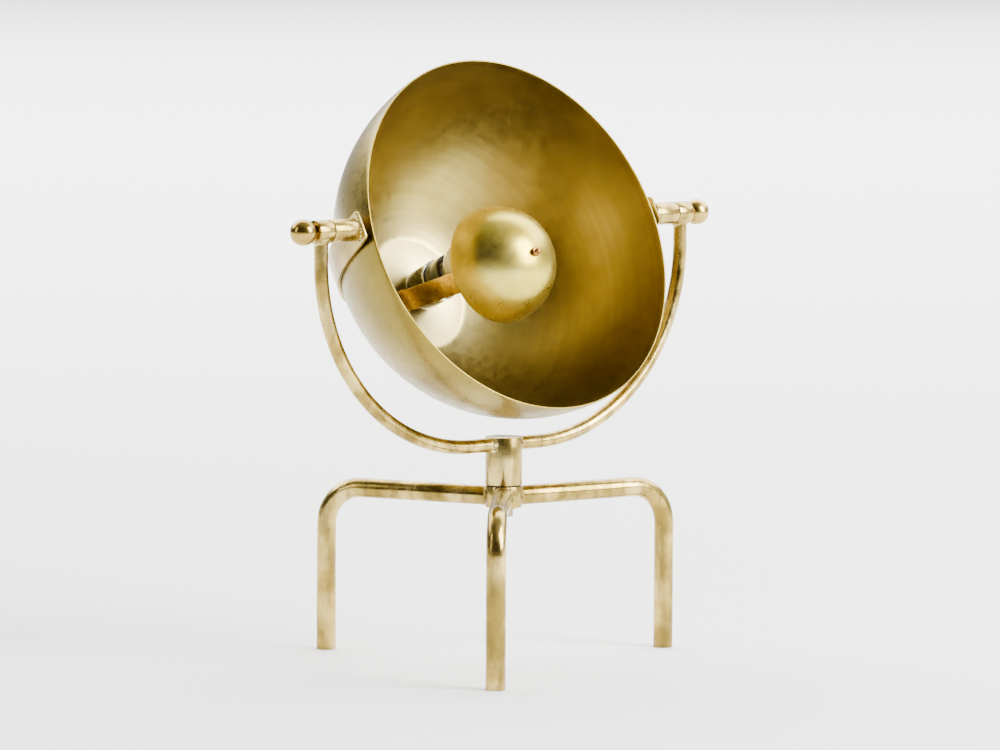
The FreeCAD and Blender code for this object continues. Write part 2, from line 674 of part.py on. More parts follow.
def make_holder():
    radius = "holder_diameter / 2"
    shoulder, inner_shoulder = "holder_shoulder", "(holder_shoulder - holder_wall)"
    turned("holder_cap", [
        ("rod_diameter / 2 + rod_clearance", "0"),
        (radius + " - holder_shoulder", "0", shoulder),
        (radius, shoulder),
        (radius, "holder_cap_height"),
        (radius + " - holder_wall", "holder_cap_height"),
        (radius + " - holder_wall", shoulder, "-" + inner_shoulder),
        (radius + " - holder_shoulder", "holder_wall"),
        ("rod_diameter / 2 + rod_clearance", "holder_wall"),
    ], in_dome(HOLDER_BASE))
    ring("holder_ring", "holder_skirt_diameter - 2 * holder_ring_proud - 2 * holder_wall",
         "holder_diameter + 2 * holder_ring_proud", "holder_ring_height",
         in_dome(HOLDER_BASE + " + holder_cap_height"))
    seat = "holder_skirt_diameter / 2 - holder_ring_proud - holder_wall - running_gap"
    skirt_back = "holder_cap_height + holder_ring_height"
    bore = "socket_bore / 2"
    turned("holder_socket", [
        ("contact_diameter / 2", "holder_seat"),
        (seat, "holder_seat"),
        (seat, skirt_back),
        ("holder_skirt_diameter / 2", skirt_back),
        ("holder_skirt_diameter / 2", SKIRT_FRONT + " - holder_wall"),
        ("holder_skirt_diameter / 2 - holder_wall", SKIRT_FRONT),
        (bore, SKIRT_FRONT),
        (bore, "holder_seat + socket_floor"),
        ("contact_diameter / 2", "holder_seat + socket_floor"),
    ], in_dome(HOLDER_BASE))
    floor = HOLDER_BASE + " + holder_seat + socket_floor"
    ring("socket_insulator", "contact_diameter", "socket_bore - 2 * thread_gap",
         "insulator_height", in_dome(floor))
    ring("socket_sleeve", "socket_bore - 2 * thread_gap - 2 * socket_sleeve_wall",
         "socket_bore - 2 * thread_gap", "socket_sleeve_length",
         in_dome(floor + " + insulator_height"))
    tip = "contact_diameter / 2"
    turned("socket_contact", [
        ("0", "-socket_floor"),
        (tip + " - thread_gap", "-socket_floor"),
        (tip + " - thread_gap", "insulator_height"),
        ("contact_diameter / 4", "insulator_height + contact_height"),
        ("0", "insulator_height + contact_height"),
    ], in_dome(floor))


def make_bulb():
    """A golf-ball bulb: screw cap with its tip, and a blown globe sealed into the cap."""
    low = HOLDER_BASE + " + holder_seat + socket_floor + insulator_height + contact_height"
    cap, wall = "bulb_cap_diameter / 2", "bulb_wall"
    turned("bulb_cap", [
        ("0", "0"),
        ("bulb_tip_diameter / 2", "0"),
        ("bulb_tip_diameter / 2", "bulb_tip_height"),
        (cap, "bulb_tip_height + bulb_tip_height"),
        (cap, "bulb_cap_length"),
        (cap + " - bulb_wall", "bulb_cap_length"),
        (cap + " - bulb_wall", "3 * bulb_tip_height"),
        ("0", "3 * bulb_tip_height"),
    ], in_dome(low))
    neck, globe = "bulb_neck_diameter / 2 - bulb_wall", "bulb_diameter / 2"
    middle = "(bulb_length - bulb_diameter / 2)"
    cheek = "%s - sqrt((%%s)^2 - (%%s)^2)" % middle
    inner = "(%s - %s)" % (globe, wall)
    turned("bulb_glass", [
        (neck, "bulb_cap_length / 2"),
        (neck, cheek % (globe, neck), globe),
        ("0", "bulb_length"),
        ("0", "bulb_length - bulb_wall", "-" + inner),
        (neck + " - bulb_wall", cheek % (inner, neck + " - bulb_wall")),
        (neck + " - bulb_wall", "bulb_cap_length / 2"),
    ], in_dome(low))


# ---- bowl shield -----------------------------------------------------------------------------

PLATE_FACE = "(shield_reach + bracket_into_bowl)"
# The foot lies flat on the crown and the leg droops with the shield, so the bar's leg leans by
# these angles along and across the foot.
DROOP_SIN = "sin(shield_droop_angle * 1deg)"
LEAN_ACROSS = "asin(%s * cos(bracket_turn_angle * 1deg))" % DROOP_SIN
LEAN_ALONG = "asin(%s * sin(bracket_turn_angle * 1deg) / cos(%s))" % (DROOP_SIN, LEAN_ACROSS)


def make_bracket():
    """A flat bar bent to a J: foot under the lampholder, long leg past the bulb, front plate."""
    foot_frame = in_dome(CROWN_INSIDE) \
        * Placement(Vector(), Rotation(Z_AXIS, value("bracket_turn_angle")))
    leans = [math.degrees(value(lean + " / 1rad")) for lean in (LEAN_ACROSS, LEAN_ALONG)]
    leg_frame = foot_frame * Placement(
        Vector(), Rotation(Y_AXIS, -leans[1]) * Rotation(X_AXIS, leans[0]))
    leg = bracket_leg()
    leg.Placement = leg_frame
    foot = bracket_foot()
    foot.Placement = foot_frame
    # The bent foot is trimmed to the bar's width, in line with the leg.
    band = doc.addObject("Part::Box", "bracket_band")
    bind(band, Length="4 * bracket_offset", Width="bracket_width", Height="4 * bracket_foot_bend")
    band.Placement = leg_frame * Placement(
        Vector(*[-value(t) for t in ("2 * bracket_offset", "bracket_width / 2", "bracket_foot_bend")]),
        Rotation())
    trimmed = doc.addObject("Part::Common", "bracket_foot_trimmed")
    trimmed.Base, trimmed.Tool = foot, band
    bar = doc.addObject("Part::Fuse", "bracket_bar")
    bar.Base, bar.Tool = leg, trimmed
    bar.Refine = True
    rod_hole = rod("bracket_rod_hole", "rod_diameter + 2 * rod_clearance",
                   "4 * bracket_thickness", "0")
    rod_hole.setExpression("Placement.Base.z", None)
    rod_hole.Placement = in_dome(CROWN_INSIDE + " - bracket_thickness")
    screw_hole = rod("bracket_screw_hole", "screw_diameter + 2 * screw_clearance",
                     "4 * bracket_thickness", "0")
    screw_hole.setExpression("Placement.Base.z", None)
    screw_hole.Placement = in_shield(PLATE_FACE + " - 2 * bracket_thickness")
    drilled = doc.addObject("Part::Cut", "bracket_drilled")
    drilled.Base, drilled.Tool = bar, rod_hole
    holed("shield_bracket", drilled, screw_hole)


def bracket_leg():
    """The straight leg and the front plate, in the leg's own plane."""
    body = doc.addObject("PartDesign::Body", "bracket_leg")
    out, inside = "-bracket_offset", "(bracket_thickness - bracket_offset)"
    back = PLATE_FACE + " - bracket_thickness"
    inner_bend = "(bracket_bend - bracket_thickness)"
    low = "1.5 * bracket_foot_bend"
    section = outline(body, "XZ", [
        (out, low),
        (inside, low),
        (inside, "%s - %s" % (back, inner_bend), "-" + inner_bend),
        ("%s + %s" % (inside, inner_bend), back),
        ("bracket_tip", back),
        ("bracket_tip", PLATE_FACE),
        ("bracket_bend - bracket_offset", PLATE_FACE, "bracket_bend"),
        (out, PLATE_FACE + " - bracket_bend"),
    ], "Edge")
    bar = body.newObject("PartDesign::Pad", "Bar")
    bar.Profile = section
    bar.SideType = "Symmetric"
    bind(bar, Length="bracket_width")
    return body


def bracket_foot():
    """The flat foot, its bend and the start of the leg, wider than the bar before trimming."""
    body = doc.addObject("PartDesign::Body", "bracket_foot")
    lean_sin, lean_cos = "sin(%s)" % LEAN_ALONG, "cos(%s)" % LEAN_ALONG
    middle = "((bracket_foot_bend - bracket_offset - bracket_foot_bend * %s) / %s)" % (lean_sin, lean_cos)

    def on_leg(height, inwards):
        side = "(%s - bracket_offset)" % inwards
        return ("%s * %s - %s * %s" % (side, lean_cos, height, lean_sin),
                "%s * %s + %s * %s" % (side, lean_sin, height, lean_cos))

    def bend_end(radius):
        return ("%s - %s * %s" % (middle, radius, lean_cos),
                "bracket_foot_bend - %s * %s" % (radius, lean_sin))

    inner = "(bracket_foot_bend - bracket_thickness)"
    high = "(2 * bracket_foot_bend)"
    section = outline(body, "XZ", [
        ("bracket_tail", "0"),
        ("bracket_tail", "bracket_thickness"),
        (middle, "bracket_thickness", "-" + inner),
        bend_end(inner),
        on_leg(high, "bracket_thickness"),
        on_leg(high, "0"),
        bend_end("bracket_foot_bend") + ("bracket_foot_bend",),
        (middle, "0"),
    ], "Edge")
    plate = body.newObject("PartDesign::Pad", "Bar")
    plate.Profile = section
    plate.SideType = "Symmetric"
    bind(plate, Length="4 * bracket_width")
    return body


def make_shield():
    hole = "(screw_diameter / 2 + screw_clearance)"
    inner = "(shield_radius - shield_wall)"
    rise = "sqrt((%s)^2 - (%s)^2)"
    turned("shield_bowl", [
        (inner, "0"),
        ("shield_radius", "0", "shield_radius"),
        (hole, rise % ("shield_radius", hole)),
        (hole, rise % (inner, hole), "-" + inner),
    ], in_shield("shield_reach"))
    # Bare tube between the bracket's front plate and the inside of the bowl.
    spacer_top = "shield_reach + " + rise % (inner, "screw_spacer_diameter / 2")
    ring("shield_spacer", "screw_diameter + 2 * screw_clearance", "screw_spacer_diameter",
         "%s - %s" % (spacer_top, PLATE_FACE), in_shield(PLATE_FACE))
    nut_low = "shield_reach + shield_radius"
    hex_nut("shield_nut", "screw_nut_width", "screw_nut_height", "screw_diameter + 2 * thread_gap",
            in_shield(nut_low))
    plate_back = "(%s - bracket_thickness)" % PLATE_FACE
    edge = "screw_head_diameter / 2"
    shank = "screw_diameter / 2"
    turned("shield_screw", [
        ("0", "-screw_head_height"),
        (edge + " - screw_head_height / 2", "-screw_head_height"),
        (edge, "-screw_head_height / 2"),
        (edge, "0"),
        (shank, "0"),
        (shank, "%s + screw_nut_height + screw_proud - %s" % (nut_low, plate_back)),
        ("0", "%s + screw_nut_height + screw_proud - %s" % (nut_low, plate_back)),
    ], in_shield(plate_back))


make_stand()
make_swivel()
make_yoke()
make_strap()
make_pivots()
make_dome()
make_rod()
make_holder()
make_bulb()
make_bracket()
make_shield()
doc.recompute()

# ---- check and write -------------------------------------------------------------------------

failed = [o.Label for o in doc.Objects if "Invalid" in o.State or "Error" in o.State]
failed += [n for n, o in NODES.items() if o.Shape.isNull() or not o.Shape.isValid()]
if failed:
    raise RuntimeError("failed: " + ", ".join(failed))
os.makedirs("parts", exist_ok=True)
for name, item in NODES.items():
    item.Shape.exportStep("parts/%s.step" % name)
    print("%-20s %2d solid(s) %12.1f mm3" % (name, len(item.Shape.Solids), item.Shape.Volume))
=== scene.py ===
# %% [markdown]
# A desk lamp in brass: three bent tube legs, a U-shaped yoke that swivels on them, and a spun
# dome that tilts between two ball knobs. A small bowl in front of the bulb throws its light
# back into the dome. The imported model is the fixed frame: its joints, mounts and corners say
# where everything is, and each piece here is made there.

# %% The frame
import json
import math

import bmesh
import bpy
from mathutils import Matrix, Vector, noise


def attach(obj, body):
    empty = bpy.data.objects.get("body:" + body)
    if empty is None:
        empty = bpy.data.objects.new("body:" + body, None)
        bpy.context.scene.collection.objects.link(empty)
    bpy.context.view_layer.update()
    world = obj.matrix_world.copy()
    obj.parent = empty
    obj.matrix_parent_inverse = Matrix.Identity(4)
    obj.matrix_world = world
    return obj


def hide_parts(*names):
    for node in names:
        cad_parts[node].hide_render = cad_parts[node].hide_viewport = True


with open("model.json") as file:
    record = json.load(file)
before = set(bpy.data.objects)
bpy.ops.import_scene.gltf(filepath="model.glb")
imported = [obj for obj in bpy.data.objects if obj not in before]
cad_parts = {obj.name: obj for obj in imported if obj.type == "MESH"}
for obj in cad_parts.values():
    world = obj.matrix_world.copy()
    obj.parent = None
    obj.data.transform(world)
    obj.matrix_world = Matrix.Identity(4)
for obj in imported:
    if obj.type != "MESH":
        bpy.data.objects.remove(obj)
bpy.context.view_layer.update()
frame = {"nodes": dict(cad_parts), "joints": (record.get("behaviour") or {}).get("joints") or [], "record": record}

MM = 0.001
FULL_TURN = 2 * math.pi
UP = Vector((0, 0, 1))

# %% [markdown]
# Each part of the lamp has its own natural axes: the dome its axis of spinning, the yoke the
# line between its knobs. A piece could be modelled where it lies, with every angle worked into
# its points. It is easier to model it upright at the origin and to carry it to its place by one
# matrix. The joints and mounts of the model give these axes.

# %% Places


def axes(origin, x, z):
    """A place with its own origin, X and Z directions."""
    x, z = x.normalized(), z.normalized()
    place = Matrix((x, z.cross(x), z)).transposed().to_4x4()
    place.translation = origin
    return place


def span(node, place):
    """Lowest and highest corner of a node of the model, in a place's own axes."""
    back = place.inverted()
    points = [back @ v.co for v in frame["nodes"][node].data.vertices]
    low = Vector([min(p[i] for p in points) for i in range(3)])
    high = Vector([max(p[i] for p in points) for i in range(3)])
    return low, high


def up_by(height):
    """A step up a place's own Z axis."""
    return Matrix.Translation((0, 0, height))


joints = {joint["name"]: joint for joint in frame["joints"]}
mounts = {mount["name"]: mount for mount in frame["record"]["mounts"]}
pivot = Vector(joints["shade_tilt"]["pos_m"])
to_right_knob = -Vector(joints["shade_tilt"]["axis"])
out_of_dome = -Vector(mounts["cord_entry"]["axis"])
rod_place = axes(Vector(mounts["cord_entry"]["pos_m"]), to_right_knob, out_of_dome)
dome_place = rod_place @ up_by(span("shade_dome", rod_place)[1].z)
yoke_place = axes(Vector(), to_right_knob, UP)
dome_low, dome_high = span("shade_dome", dome_place)
dome_radius, dome_depth = dome_high.x, -dome_low.z
print("dome radius and depth, mm", round(dome_radius / MM, 1), round(dome_depth / MM, 1))

# %% [markdown]
# The photograph was taken from far away with a long lens, a little above the lamp. A camera
# could be moved by hand until the picture looks right. This one stands six metres off, and its
# lens, height and tilt were fitted to the rim and outline of the dome, the legs, the yoke and
# the knobs: 223 mm, looking down by 5.3 degrees and rolled by a third of a degree.

# %% Camera
CAMERA_DISTANCE = 6.0
CAMERA_TARGET = Vector((-4.07, 0, 280.15)) * MM
LOOKING_DOWN = math.radians(5.31)
ROLL = math.radians(0.31)
LENS, SENSOR_WIDTH = 222.67, 36.0
FARTHEST_SEEN = 50.0

camera = bpy.data.objects.new("camera", bpy.data.cameras.new("camera"))
bpy.context.scene.collection.objects.link(camera)
bpy.context.scene.camera = camera
camera.data.lens = LENS
camera.data.sensor_width = SENSOR_WIDTH
camera.data.clip_end = FARTHEST_SEEN
back = Vector((0, -math.cos(LOOKING_DOWN), math.sin(LOOKING_DOWN)))
upright = Vector((0, math.sin(LOOKING_DOWN), math.cos(LOOKING_DOWN)))
level = Vector((1, 0, 0))
right = level * math.cos(ROLL) + upright * math.sin(ROLL)
camera.matrix_world = axes(CAMERA_TARGET + back * CAMERA_DISTANCE, right, back)
print("camera at", [round(v, 3) for v in camera.matrix_world.translation])

# %% [markdown]
# Colours are picked as hex codes, as a screen shows them, but shaders want linear values, so
# one function turns them. A node tree could be wired line by line. One helper that adds a node
# with its settings and its links keeps every recipe short enough to read.

# %% Colours and nodes


def linear(code):
    """Turn an sRGB hex colour into the linear values that shaders use."""
    parts = [int(code[i:i + 2], 16) / 255 for i in (1, 3, 5)]
    return tuple(p / 12.92 if p <= 0.04045 else ((p + 0.055) / 1.055) ** 2.4 for p in parts) + (1.0,)


def add(tree, kind, settings=None, links=None):
    """Add one node: its settings by attribute or socket, and its links as socket: other output."""
    item = tree.nodes.new(kind)
    for name, number in (settings or {}).items():
        if isinstance(name, str) and hasattr(item, name):
            setattr(item, name, number)
        else:
            item.inputs[name].default_value = number
    for name, other in (links or {}).items():
        tree.links.new(other, item.inputs[name])
    return item


def ramp(tree, factor, *stops):
    """A colour ramp from (position, hex) stops."""
    item = add(tree, "ShaderNodeValToRGB", links={"Fac": factor})
    band = item.color_ramp.elements
    while len(band) < len(stops):
        band.new(1.0)
    for element, (position, code) in zip(band, stops):
        element.position = position
        element.color = linear(code)
    return item.outputs["Color"]


print("white is", linear("#FFFFFF"))

# %% [markdown]
# Polished metal shows the room more than itself. The world could be one flat pale colour, but
# then the brass would look like paper. It is a soft change from dark to white instead: dark in
# front of the lamp and to its left, which gives the metal its brown shadows, and white behind.

# %% World
TOWARDS_LIGHT = Vector((0.55, 0.75, 0.35))
DARK_FROM, WHITE_FROM = -0.9, 0.6   # measured along that direction, from -1 to 1

world = bpy.data.worlds.new("pale_studio")
bpy.context.scene.world = world
world.use_nodes = True
sky = world.node_tree
sky.nodes.clear()
direction = add(sky, "ShaderNodeTexCoord").outputs["Generated"]
towards = add(sky, "ShaderNodeVectorMath", {"operation": "DOT_PRODUCT"}, {0: direction})
towards.inputs[1].default_value = TOWARDS_LIGHT.normalized()
depth = add(sky, "ShaderNodeMapRange", {"From Min": DARK_FROM, "From Max": WHITE_FROM},
            {"Value": towards.outputs["Value"]})
shade = ramp(sky, depth.outputs["Result"], (0.0, "#2E2920"), (0.4, "#5E5848"), (0.75, "#D0CDC2"),
             (1.0, "#FFFFFF"))
glow = add(sky, "ShaderNodeBackground", {"Strength": 1.0}, {"Color": shade})
add(sky, "ShaderNodeOutputWorld", links={"Surface": glow.outputs["Background"]})
print("world nodes", len(sky.nodes))

# %% [markdown]
# Small bright lamps would make hard shadows and sparks on brass, so the light comes from soft
# panels. The strong one high on the right is what the flat crown of the dome sends to the
# camera. A narrow and weak one fills in from the left, and one hangs above. A very large one
# hangs over the floor behind the lamp and keeps it white up to the horizon.

# %% Lights


def area_light(name, position, target, width, height, power):
    """A rectangular panel at a position in metres, turned to a target, with its power in watts."""
    panel = bpy.data.lights.new(name, "AREA")
    panel.shape = "RECTANGLE"
    panel.size, panel.size_y, panel.energy = width, height, power
    item = bpy.data.objects.new(name, panel)
    bpy.context.scene.collection.objects.link(item)
    away = (Vector(position) - Vector(target)).normalized()
    item.matrix_world = axes(Vector(position), UP.cross(away), away)


LAMP_MIDDLE = (0, 0, 0.36)
area_light("panel_right", (2.5, -1.0, 1.7), LAMP_MIDDLE, width=1.5, height=2.0, power=280)
area_light("panel_left", (-2.4, -1.2, 1.4), LAMP_MIDDLE, width=0.5, height=1.6, power=12)
area_light("panel_top", (0.1, 0.5, 1.7), (0.1, 0.5, 0.0), width=1.4, height=1.2, power=58)
area_light("floor_light", (0.0, 10.0, 6.0), (0.0, 10.4, 0.0), width=22.0, height=17.0, power=8600)

# %% [markdown]
# The lamp stands on white paper, so wide that its edge never shows. A curved backdrop is the
# usual way in a studio, but a flat sheet looks right from every side. It is matt, because a
# glossy floor would mirror the lamp.

# %% Floor
FLOOR_SIZE = 30.0
floor_mesh = bmesh.new()
bmesh.ops.create_grid(floor_mesh, x_segments=1, y_segments=1, size=FLOOR_SIZE)
floor_data = bpy.data.meshes.new("floor")
floor_mesh.to_mesh(floor_data)
floor_mesh.free()
floor = bpy.data.objects.new("floor", floor_data)
bpy.context.scene.collection.objects.link(floor)
paper = bpy.data.materials.new("matt_white_paper")
paper.use_nodes = True
paper.node_tree.nodes["Principled BSDF"].inputs["Base Color"].default_value = linear("#F7F7F5")
paper.node_tree.nodes["Principled BSDF"].inputs["Roughness"].default_value = 0.9
floor_data.materials.append(paper)
print("floor, metres across", 2 * FLOOR_SIZE)

# %% [markdown]
# A pattern has to stay on its piece when the piece moves, so it is read in object coordinates.
# Unwrapping each piece would do that too, but noise in space needs no seams. A pattern that
# belongs to a shape, such as the rings of spinning, is read in that shape's own axes. Sizes are
# given in millimetres and turned to a texture's scale.

# %% Material tools


def pattern_space(tree, place=None, stretch=(1, 1, 1)):
    """Object coordinates, seen from a place if one is given, so that a pattern can follow it."""
    coordinates = add(tree, "ShaderNodeTexCoord").outputs["Object"]
    if place is not None:
        back = place.inverted()
        coordinates = add(tree, "ShaderNodeMapping", {
            "Location": back.translation, "Rotation": back.to_euler("XYZ")},
            {"Vector": coordinates}).outputs["Vector"]
    return add(tree, "ShaderNodeMapping", {"Scale": stretch},
               {"Vector": coordinates}).outputs["Vector"]


def per_metre(size_mm):
    """A texture's scale for features of a size in millimetres."""
    return 1.0 / (size_mm * MM)


def new_material(name):
    """An empty material with one surface shader."""
    material = bpy.data.materials.new(name)
    material.use_nodes = True
    tree = material.node_tree
    tree.nodes.clear()
    surface = add(tree, "ShaderNodeBsdfPrincipled")
    add(tree, "ShaderNodeOutputMaterial", links={"Surface": surface.outputs["BSDF"]})
    return material, tree, surface


def mixed(tree, factor, first, second):
    """Mix two colours, each a node's output or a hex code, by a node's output."""
    item = add(tree, "ShaderNodeMix", {"data_type": "RGBA"})
    for socket, source in ((0, factor), (6, first), (7, second)):
        if isinstance(source, str):
            item.inputs[socket].default_value = linear(source)
        else:
            tree.links.new(source, item.inputs[socket])
    return item.outputs[2]


def cloud(tree, space, size_mm, low, high, detail=4.0, top=1.0):
    """Soft noise of a size, stretched to run from 0 to top between two of its values."""
    raw = add(tree, "ShaderNodeTexNoise", {"Scale": per_metre(size_mm), "Detail": detail},
              {"Vector": space})
    return add(tree, "ShaderNodeMapRange", {"From Min": low, "From Max": high, "To Max": top},
               {"Value": raw.outputs["Fac"]}).outputs["Result"]


print("a pattern of 10 mm has the scale", per_metre(10))

# %% [markdown]
# Brass that was rubbed by hand is not one colour. Broad cloudy patches are paler or browner,
# the surface is a little wavy so that highlights wander, fine scratches blur them, and dark
# specks sit in the pores. A flat gold would look like plastic. One recipe with these four
# layers serves every brass here, and each finish gets its own colours, roughness and sizes. A
# metal keeps the default IOR.

# %% Brass recipe
# Painted reflection: brown streaks stretched along Z stand in for the dark bands of the room that polished tube
# mirrors.
PAINTED_REFLECTION_MM, PAINTED_REFLECTION_STRETCH, PAINTED_REFLECTION_COLOUR = 11.0, 0.2, "#6A5A2C"
# Real specks and scratches are finer. These are as coarse as the picture needs to show them.
SPECK_MM, SPECK_EDGE = 3.2, 0.07
SCRATCH_MM, SCRATCH_DEPTH, SCRATCH_STRENGTH = 1.2, 0.2 * MM, 0.06
RUBBED_MM = 9.0
WAVE_DEPTH = 3.0 * MM


def brass(name, colours, roughness, wave_mm=14.0, wave=0.10, speck="#5A4420", specks=0.71,
          place=None, patch_mm=38.0, painted_reflection=0.0):
    """Hand-rubbed brass: cloudy colour, wandering highlights, fine scratches, dark specks, and painted reflection
    streaks if asked.
    """
    material, tree, surface = new_material(name)
    surface.inputs["Metallic"].default_value = 1.0
    space = pattern_space(tree, place)
    patches = cloud(tree, space, patch_mm, low=0.36, high=0.64)
    colour = ramp(tree, patches, (0.0, colours[0]), (0.5, colours[1]), (1.0, colours[2]))
    # Painted reflection: dark streaks along the tube are mixed into the colour.
    if painted_reflection:
        upright_space = pattern_space(tree, place, stretch=(1, 1, PAINTED_REFLECTION_STRETCH))
        painted_reflection_mask = cloud(tree, upright_space, PAINTED_REFLECTION_MM, low=0.46, high=0.60, detail=3.0, top=painted_reflection)
        colour = mixed(tree, painted_reflection_mask, colour, PAINTED_REFLECTION_COLOUR)
    pores = cloud(tree, space, SPECK_MM, low=specks, high=specks + SPECK_EDGE, detail=2.0)
    colour = mixed(tree, pores, colour, speck)
    tree.links.new(colour, surface.inputs["Base Color"])
    rubbed = cloud(tree, space, RUBBED_MM, low=0.3, high=0.7)
    blur = add(tree, "ShaderNodeMapRange", {"To Min": roughness[0], "To Max": roughness[1]},
               {"Value": rubbed})
    tree.links.new(blur.outputs["Result"], surface.inputs["Roughness"])
    waves = add(tree, "ShaderNodeTexNoise", {"Scale": per_metre(wave_mm), "Detail": 2.0},
                {"Vector": space})
    scratches = add(tree, "ShaderNodeTexNoise", {"Scale": per_metre(SCRATCH_MM), "Detail": 3.0},
                    {"Vector": space})
    rough = add(tree, "ShaderNodeBump", {"Strength": SCRATCH_STRENGTH, "Distance": SCRATCH_DEPTH},
                {"Height": scratches.outputs["Fac"]})
    bent = add(tree, "ShaderNodeBump", {"Strength": wave, "Distance": WAVE_DEPTH},
               {"Height": waves.outputs["Fac"], "Normal": rough.outputs["Normal"]})
    tree.links.new(bent.outputs["Normal"], surface.inputs["Normal"])
    return material, tree, surface, space


# Tube and collars, rubbed with fine abrasive: pale gold clouds, with brown streaks that run down as painted
# reflection, the dark bands that polished tube mirrors from the room.
champagne_brass = brass("champagne_brass_rubbed_painted_reflection_streaks", ("#8A7434", "#B89C50", "#D6BE74"),
                        (0.16, 0.32), painted_reflection=0.6)[0]
# Turned and polished balls: smooth, with a round highlight and hardly a wave.
ball_brass = brass("champagne_brass_polished_ball", ("#8A7234", "#B4984C", "#CAB068"),
                   (0.18, 0.26), wave=0.04)[0]
# Rolled flat bar, rubbed by hand: a little duller and darker than the tube.
strap_brass = brass("champagne_brass_rubbed_strip", ("#826C2C", "#A68C42", "#C2AA60"),
                    (0.22, 0.34))[0]
# Filler brass, left as it froze: lumpy, with bright tops and dark burnt pits.
braze_brass = brass("brazing_brass_as_cast", ("#7C6826", "#BCA658", "#E8D690"), (0.22, 0.45),
                    wave_mm=3.0, wave=0.6, speck="#3E2A12", specks=0.56)[0]
# Rolled strip under clear lacquer: an even, warm yellow.
strip_brass = brass("strip_brass_lacquered", ("#BE9628", "#CCA636", "#D8B44A"), (0.22, 0.34),
                    specks=0.78)[0]
# Spun bowl with a satin polish: clear yellow, with few specks and long soft waves.
shield_brass = brass("shield_brass_satin_spun", ("#C4AC34", "#CEBA4A", "#DAC868"), (0.26, 0.34),
                     wave_mm=40.0, wave=0.05, specks=0.84)[0]
# Stamped sheet inside the lampholder: plain and a little dull.
socket_brass = brass("stamped_brass_plain", ("#A88A48", "#C2A460", "#D2B878"), (0.25, 0.4))[0]
print("brass finishes", len([m for m in bpy.data.materials if "brass" in m.name]))

# %% [markdown]
# The dome was spun on a lathe over a wooden form: a roller pushed the turning sheet down and
# left faint rings round its axis. Outside it was rubbed to an olive gold. Inside it looks darker
# and browner, because light goes from brass to brass there and deepens each time, so that finish
# starts from paler colours. The flat crown is paler still: a painted highlight, the bright patch
# of light that the crown mirrors. The rings could be modelled, but they are far too shallow:
# they are a bump and a faint shade that follow the distance from the axis.

# %% Spun dome finishes
RING_MM, RING_DEPTH, RING_STRENGTH = 7.0, 0.6 * MM, 0.12   # coarser than the real ones, to show
RING_SHADE = 0.35
# Painted highlight on the flat crown: a pale colour mixed in from this distance from the axis, in full within that
# one.
CROWN_HIGHLIGHT_FROM, CROWN_HIGHLIGHT_WITHIN, CROWN_HIGHLIGHT_SHARE = 95 * MM, 30 * MM, 0.8


def spun(name, colours, roughness, crown_highlight=None):
    """Brass with rings round the dome's axis, and a painted highlight on the crown if a colour is given."""
    material, tree, surface, space = brass(name, colours, roughness, place=dome_place, wave_mm=60.0,
                                           wave=0.15, specks=0.80, patch_mm=110.0)
    parts = add(tree, "ShaderNodeSeparateXYZ", links={"Vector": space})
    flat = add(tree, "ShaderNodeCombineXYZ",
               links={"X": parts.outputs["X"], "Y": parts.outputs["Y"]})
    distance = add(tree, "ShaderNodeVectorMath", {"operation": "LENGTH"},
                   {0: flat.outputs["Vector"]}).outputs["Value"]
    around = add(tree, "ShaderNodeCombineXYZ", links={"X": distance, "Y": parts.outputs["Z"]})
    rings = add(tree, "ShaderNodeTexNoise", {"Scale": per_metre(RING_MM), "Detail": 3.0},
                {"Vector": around.outputs["Vector"]})
    old = surface.inputs["Normal"].links[0].from_socket
    ridges = add(tree, "ShaderNodeBump", {"Strength": RING_STRENGTH, "Distance": RING_DEPTH},
                 {"Height": rings.outputs["Fac"], "Normal": old})
    tree.links.new(ridges.outputs["Normal"], surface.inputs["Normal"])
    colour = surface.inputs["Base Color"].links[0].from_socket
    shade = add(tree, "ShaderNodeMapRange",
                {"From Min": 0.35, "From Max": 0.65, "To Max": RING_SHADE},
                {"Value": rings.outputs["Fac"]}).outputs["Result"]
    colour = mixed(tree, shade, colour, colours[0])
    # Painted highlight: near the axis the colour is mixed towards the pale crown colour.
    if crown_highlight:
        crown_highlight_mask = add(tree, "ShaderNodeMapRange", {
            "From Min": CROWN_HIGHLIGHT_FROM, "From Max": CROWN_HIGHLIGHT_WITHIN, "To Max": CROWN_HIGHLIGHT_SHARE},
            {"Value": distance}).outputs["Result"]
        colour = mixed(tree, crown_highlight_mask, colour, crown_highlight)
    tree.links.new(colour, surface.inputs["Base Color"])
    return material


# Spun and rubbed outside: an olive gold with broad soft highlights.
dome_outside = spun("spun_brass_rubbed_outside", ("#7C6A26", "#927E34", "#A49044"), (0.24, 0.36))
# Spun and left as it was inside: a warm brown gold, with a painted highlight on the flat crown.
dome_inside = spun("spun_brass_inside_painted_crown_highlight", ("#958038", "#AE9848", "#BCA85A"), (0.28, 0.38),
                   crown_highlight="#D6C68A")
print("spun finishes", dome_outside.name, dome_inside.name)

# %% [markdown]
# The rest are small parts of a lampholder and its screws. They could share one grey, but steel,
# phenolic, fibre, ceramic and opal glass are told apart by how sharply they mirror the room.
# Each gets a soft grain in its colour and roughness, so that no surface is one flat value.

# %% Other finishes
FINE_GRAIN_MM, FINE_GRAIN_DEPTH = 0.8, 0.1 * MM


